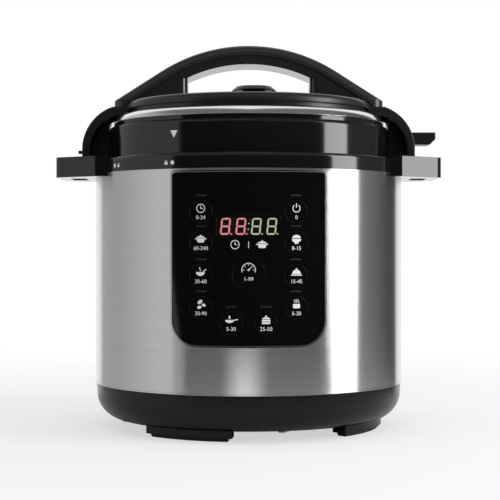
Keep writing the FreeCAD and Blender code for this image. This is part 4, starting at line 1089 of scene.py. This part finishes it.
class COOKER_OT_symbols(Operator):
    """Print a plain symbol and a number on each key, and the lamps and dividers beside them"""

    bl_idname = "cooker.symbols"
    bl_label = "Panel prints"

    symbols = {
        "key_left_1": (clock_symbol, "0-24"),
        "key_left_2": (pot_symbol, "60-240"),
        "key_left_3": (ladle_symbol, "20-60"),
        "key_left_4": (beans_symbol, "30-90"),
        "key_right_1": (standby_symbol, "0"),
        "key_right_2": (rice_symbol, "8-15"),
        "key_right_3": (dome_symbol, "15-45"),
        "key_right_4": (steamer_symbol, "5-20"),
        "key_lower_left": (skillet_symbol, "5-30"),
        "key_lower_right": (cake_symbol, "25-50"),
        "key_centre": (gauge_symbol, "1-99"),
    }
    symbol_rise = 2.6
    number_drop = 4.9
    lamp_rise = 13.2
    lamp_pitch = 2.3
    lamp_w = 1.4
    lamp_h = 1.5
    lamp_steps = (-1.5, -0.5, 0.5, 1.5)
    divider_top = 3.0
    divider_end = 8.5
    divider_w = 0.5
    sign_reach = 11
    sign_drop = 5.6

    def execute(self, context):
        marks = context.scene.cooker_marks
        for key, (draw, text) in self.symbols.items():
            faces = shifted(draw(), 0, self.symbol_rise)
            faces += shifted(numeral(text, marks.numeral), 0, -self.number_drop)
            body = frame["nodes"][key]["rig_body"]
            self.on_panel(marks, "print_" + key, faces, middle(key), white_ink, body)
        lamps = []
        panel = middle("panel_fascia")
        for key in self.symbols:
            if key == "key_centre":
                continue
            spot = (middle(key) - panel) / MM
            for step in self.lamp_steps:
                left = step * self.lamp_pitch - self.lamp_w / 2
                right = step * self.lamp_pitch + self.lamp_w / 2
                lamps += shifted(bar(left, 0, right, 0, self.lamp_h), spot.x, spot.z + self.lamp_rise)
        self.on_panel(marks, "key_lamps", lamps, panel, faint_ink, "cooker")
        window = middle("display_lens")
        below = (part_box("display_lens")[0].z - window.z) / MM
        divider = bar(0, below - self.divider_top, 0, below - self.divider_end, self.divider_w)
        divider += shifted(clock_symbol(), -self.sign_reach, below - self.sign_drop)
        divider += shifted(pot_symbol(), self.sign_reach, below - self.sign_drop)
        self.on_panel(marks, "display_marks", divider, window, white_ink, "cooker")
        return {"FINISHED"}

    def on_panel(self, marks, name, faces, centre, maker, body):
        """Print faces on the round front of the panel about a point on it."""
        place = on_drum(FASCIA_R, math.asin(centre.x / FASCIA_R), centre.z)
        printed(name, faces, place, maker, body, marks.ink, marks.slice)


class COOKER_OT_lock_marks(Operator):
    """Print the lid's arrow and the collar's open and closed marks"""

    bl_idname = "cooker.lock_marks"
    bl_label = "Lock marks"

    arrow_slim = 0.9
    arrow_drop = 3.5 * MM
    mark_rise = 6.6 * MM
    sign_gap = 6.0
    open_swing = 0.9

    def execute(self, context):
        marks = context.scene.cooker_marks
        half = marks.arrow / MM / 2
        tall = half * self.arrow_slim
        arrow = [[(-half, tall), (0, -tall), (half, tall)]]
        place = on_drum(SKIRT_R, marks.arrow_at, middle("lid_skirt").z - self.arrow_drop)
        printed("lid_arrow", arrow, place, white_ink, "lid", marks.ink, marks.slice)
        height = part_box("panel_bezel")[1].z + self.mark_rise
        dot = oval(0, 0, marks.dot / MM * 2, marks.dot / MM * 2)
        signs = (("closed", marks.closed_at, -1, 0.0), ("open", marks.open_at, 1, self.open_swing))
        for name, turn, side, swing in signs:
            faces = dot + shifted(padlock(swing), side * self.sign_gap, 0)
            printed("lock_%s_mark" % name, faces, on_drum(COLLAR_R, turn, height), white_ink, "cooker",
                    marks.ink, marks.slice)
        return {"FINISHED"}


class COOKER_OT_pot(Operator):
    """Finish the inner pot and the well, and print the level marks inside the pot"""

    bl_idname = "cooker.pot"
    bl_label = "Pot and well"

    halves = 8
    long_tick = 11.0
    short_tick = 6.5
    spine_w = 0.7
    tick_w = 0.9
    number_scale = 1.6
    number_gap = 4.5

    def execute(self, context):
        marks = context.scene.cooker_marks
        dress(pot_metal, "inner_pot")
        dress(satin_steel, "cooking_well")
        step = marks.litre / MM / 2
        levels = bar(0, step, 0, step * self.halves, self.spine_w)
        for half in range(1, self.halves + 1):
            height = half * step
            whole = half % 2 == 0
            levels += bar(0, height, self.long_tick if whole else self.short_tick, height, self.tick_w)
            if whole:
                number = numeral(str(half // 2), marks.numeral * self.number_scale)
                levels += shifted(number, self.long_tick + self.number_gap, height)
        place = on_drum(POT_INNER_R, math.pi, POT_LOW.z, facing=-1)
        printed("pot_levels", levels, place, white_ink, "pot", marks.level_ink, marks.slice)
        return {"FINISHED"}


class COOKER_OT_works(Operator):
    """Finish the heater, the thermostat and the power board"""

    bl_idname = "cooker.works"
    bl_label = "Heater and boards"

    def execute(self, context):
        dress(cast_metal, "heating_plate", "thermostat_cap")
        dress(element_sheath, "heating_element")
        dress(zinc_plate, "heater_posts", "thermostat_seat", "thermostat_spring")
        dress(ceramic_white, "thermal_fuse")
        dress(component_black, "pressure_switch", "power_board_parts")
        dress(board_green, "power_board")
        self.soften_spring(context)
        return {"FINISHED"}

    def soften_spring(self, context):
        """Put a copy of the spring, with a mesh of its own, in place of the stiff one, and work out the
        share of its length that the thermostat's press keeps.
        """
        stiff = frame["nodes"]["thermostat_spring"]
        spring = bpy.data.objects.new("thermostat_coil", stiff.data.copy())
        context.scene.collection.objects.link(spring)
        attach(spring, "cooker")
        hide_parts("thermostat_spring")
        low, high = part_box("thermostat_spring")
        press = next(joint for joint in frame["joints"] if joint["name"] == "thermostat_press")
        stroke = -min(press["range_m"])
        keep = 1 - stroke / (high.z - low.z)
        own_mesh(spring)


class COOKER_OT_rear(Operator):
    """Finish the supply inlet, the cup's bracket and the condensation cup"""

    bl_idname = "cooker.rear"
    bl_label = "Rear fittings"

    def execute(self, context):
        dress(inlet_black, "power_inlet")
        dress(blade_brass, "inlet_pins")
        dress(matte_black, "cup_bracket")
        dress(cup_clear, "condensation_cup")
        return {"FINISHED"}


class COOKER_PT_sidebar(Panel):
    """Lists the cooker's steps and settings"""

    bl_idname = "COOKER_PT_sidebar"
    bl_label = "Pressure cooker"
    bl_space_type = "VIEW_3D"
    bl_region_type = "UI"
    bl_category = "Cooker"

    def draw(self, context):
        for step in STEPS:
            self.layout.operator(step.bl_idname)
        for label in GROUPS:
            group = getattr(context.scene, label)
            box = self.layout.box()
            for name in group.__annotations__:
                box.prop(group, name)


STEPS = (
    COOKER_OT_stage, COOKER_OT_jacket, COOKER_OT_collar, COOKER_OT_lid, COOKER_OT_handle, COOKER_OT_valves,
    COOKER_OT_panel, COOKER_OT_display, COOKER_OT_symbols, COOKER_OT_lock_marks, COOKER_OT_pot,
    COOKER_OT_works, COOKER_OT_rear,
)
GROUPS = {"cooker_finish": CookerFinish, "cooker_marks": CookerMarks, "cooker_studio": CookerStudio}
CLASSES = (*GROUPS.values(), *STEPS, COOKER_PT_sidebar)


def register():
    for kind in CLASSES:
        bpy.utils.register_class(kind)
    for name, kind in GROUPS.items():
        setattr(bpy.types.Scene, name, PointerProperty(type=kind))


def unregister():
    for name in GROUPS:
        delattr(bpy.types.Scene, name)
    for kind in reversed(CLASSES):
        bpy.utils.unregister_class(kind)


def main():
    register()
    for step in STEPS:
        getattr(bpy.ops.cooker, step.bl_idname.split(".")[1])()


if __name__ == "__main__":
    main()
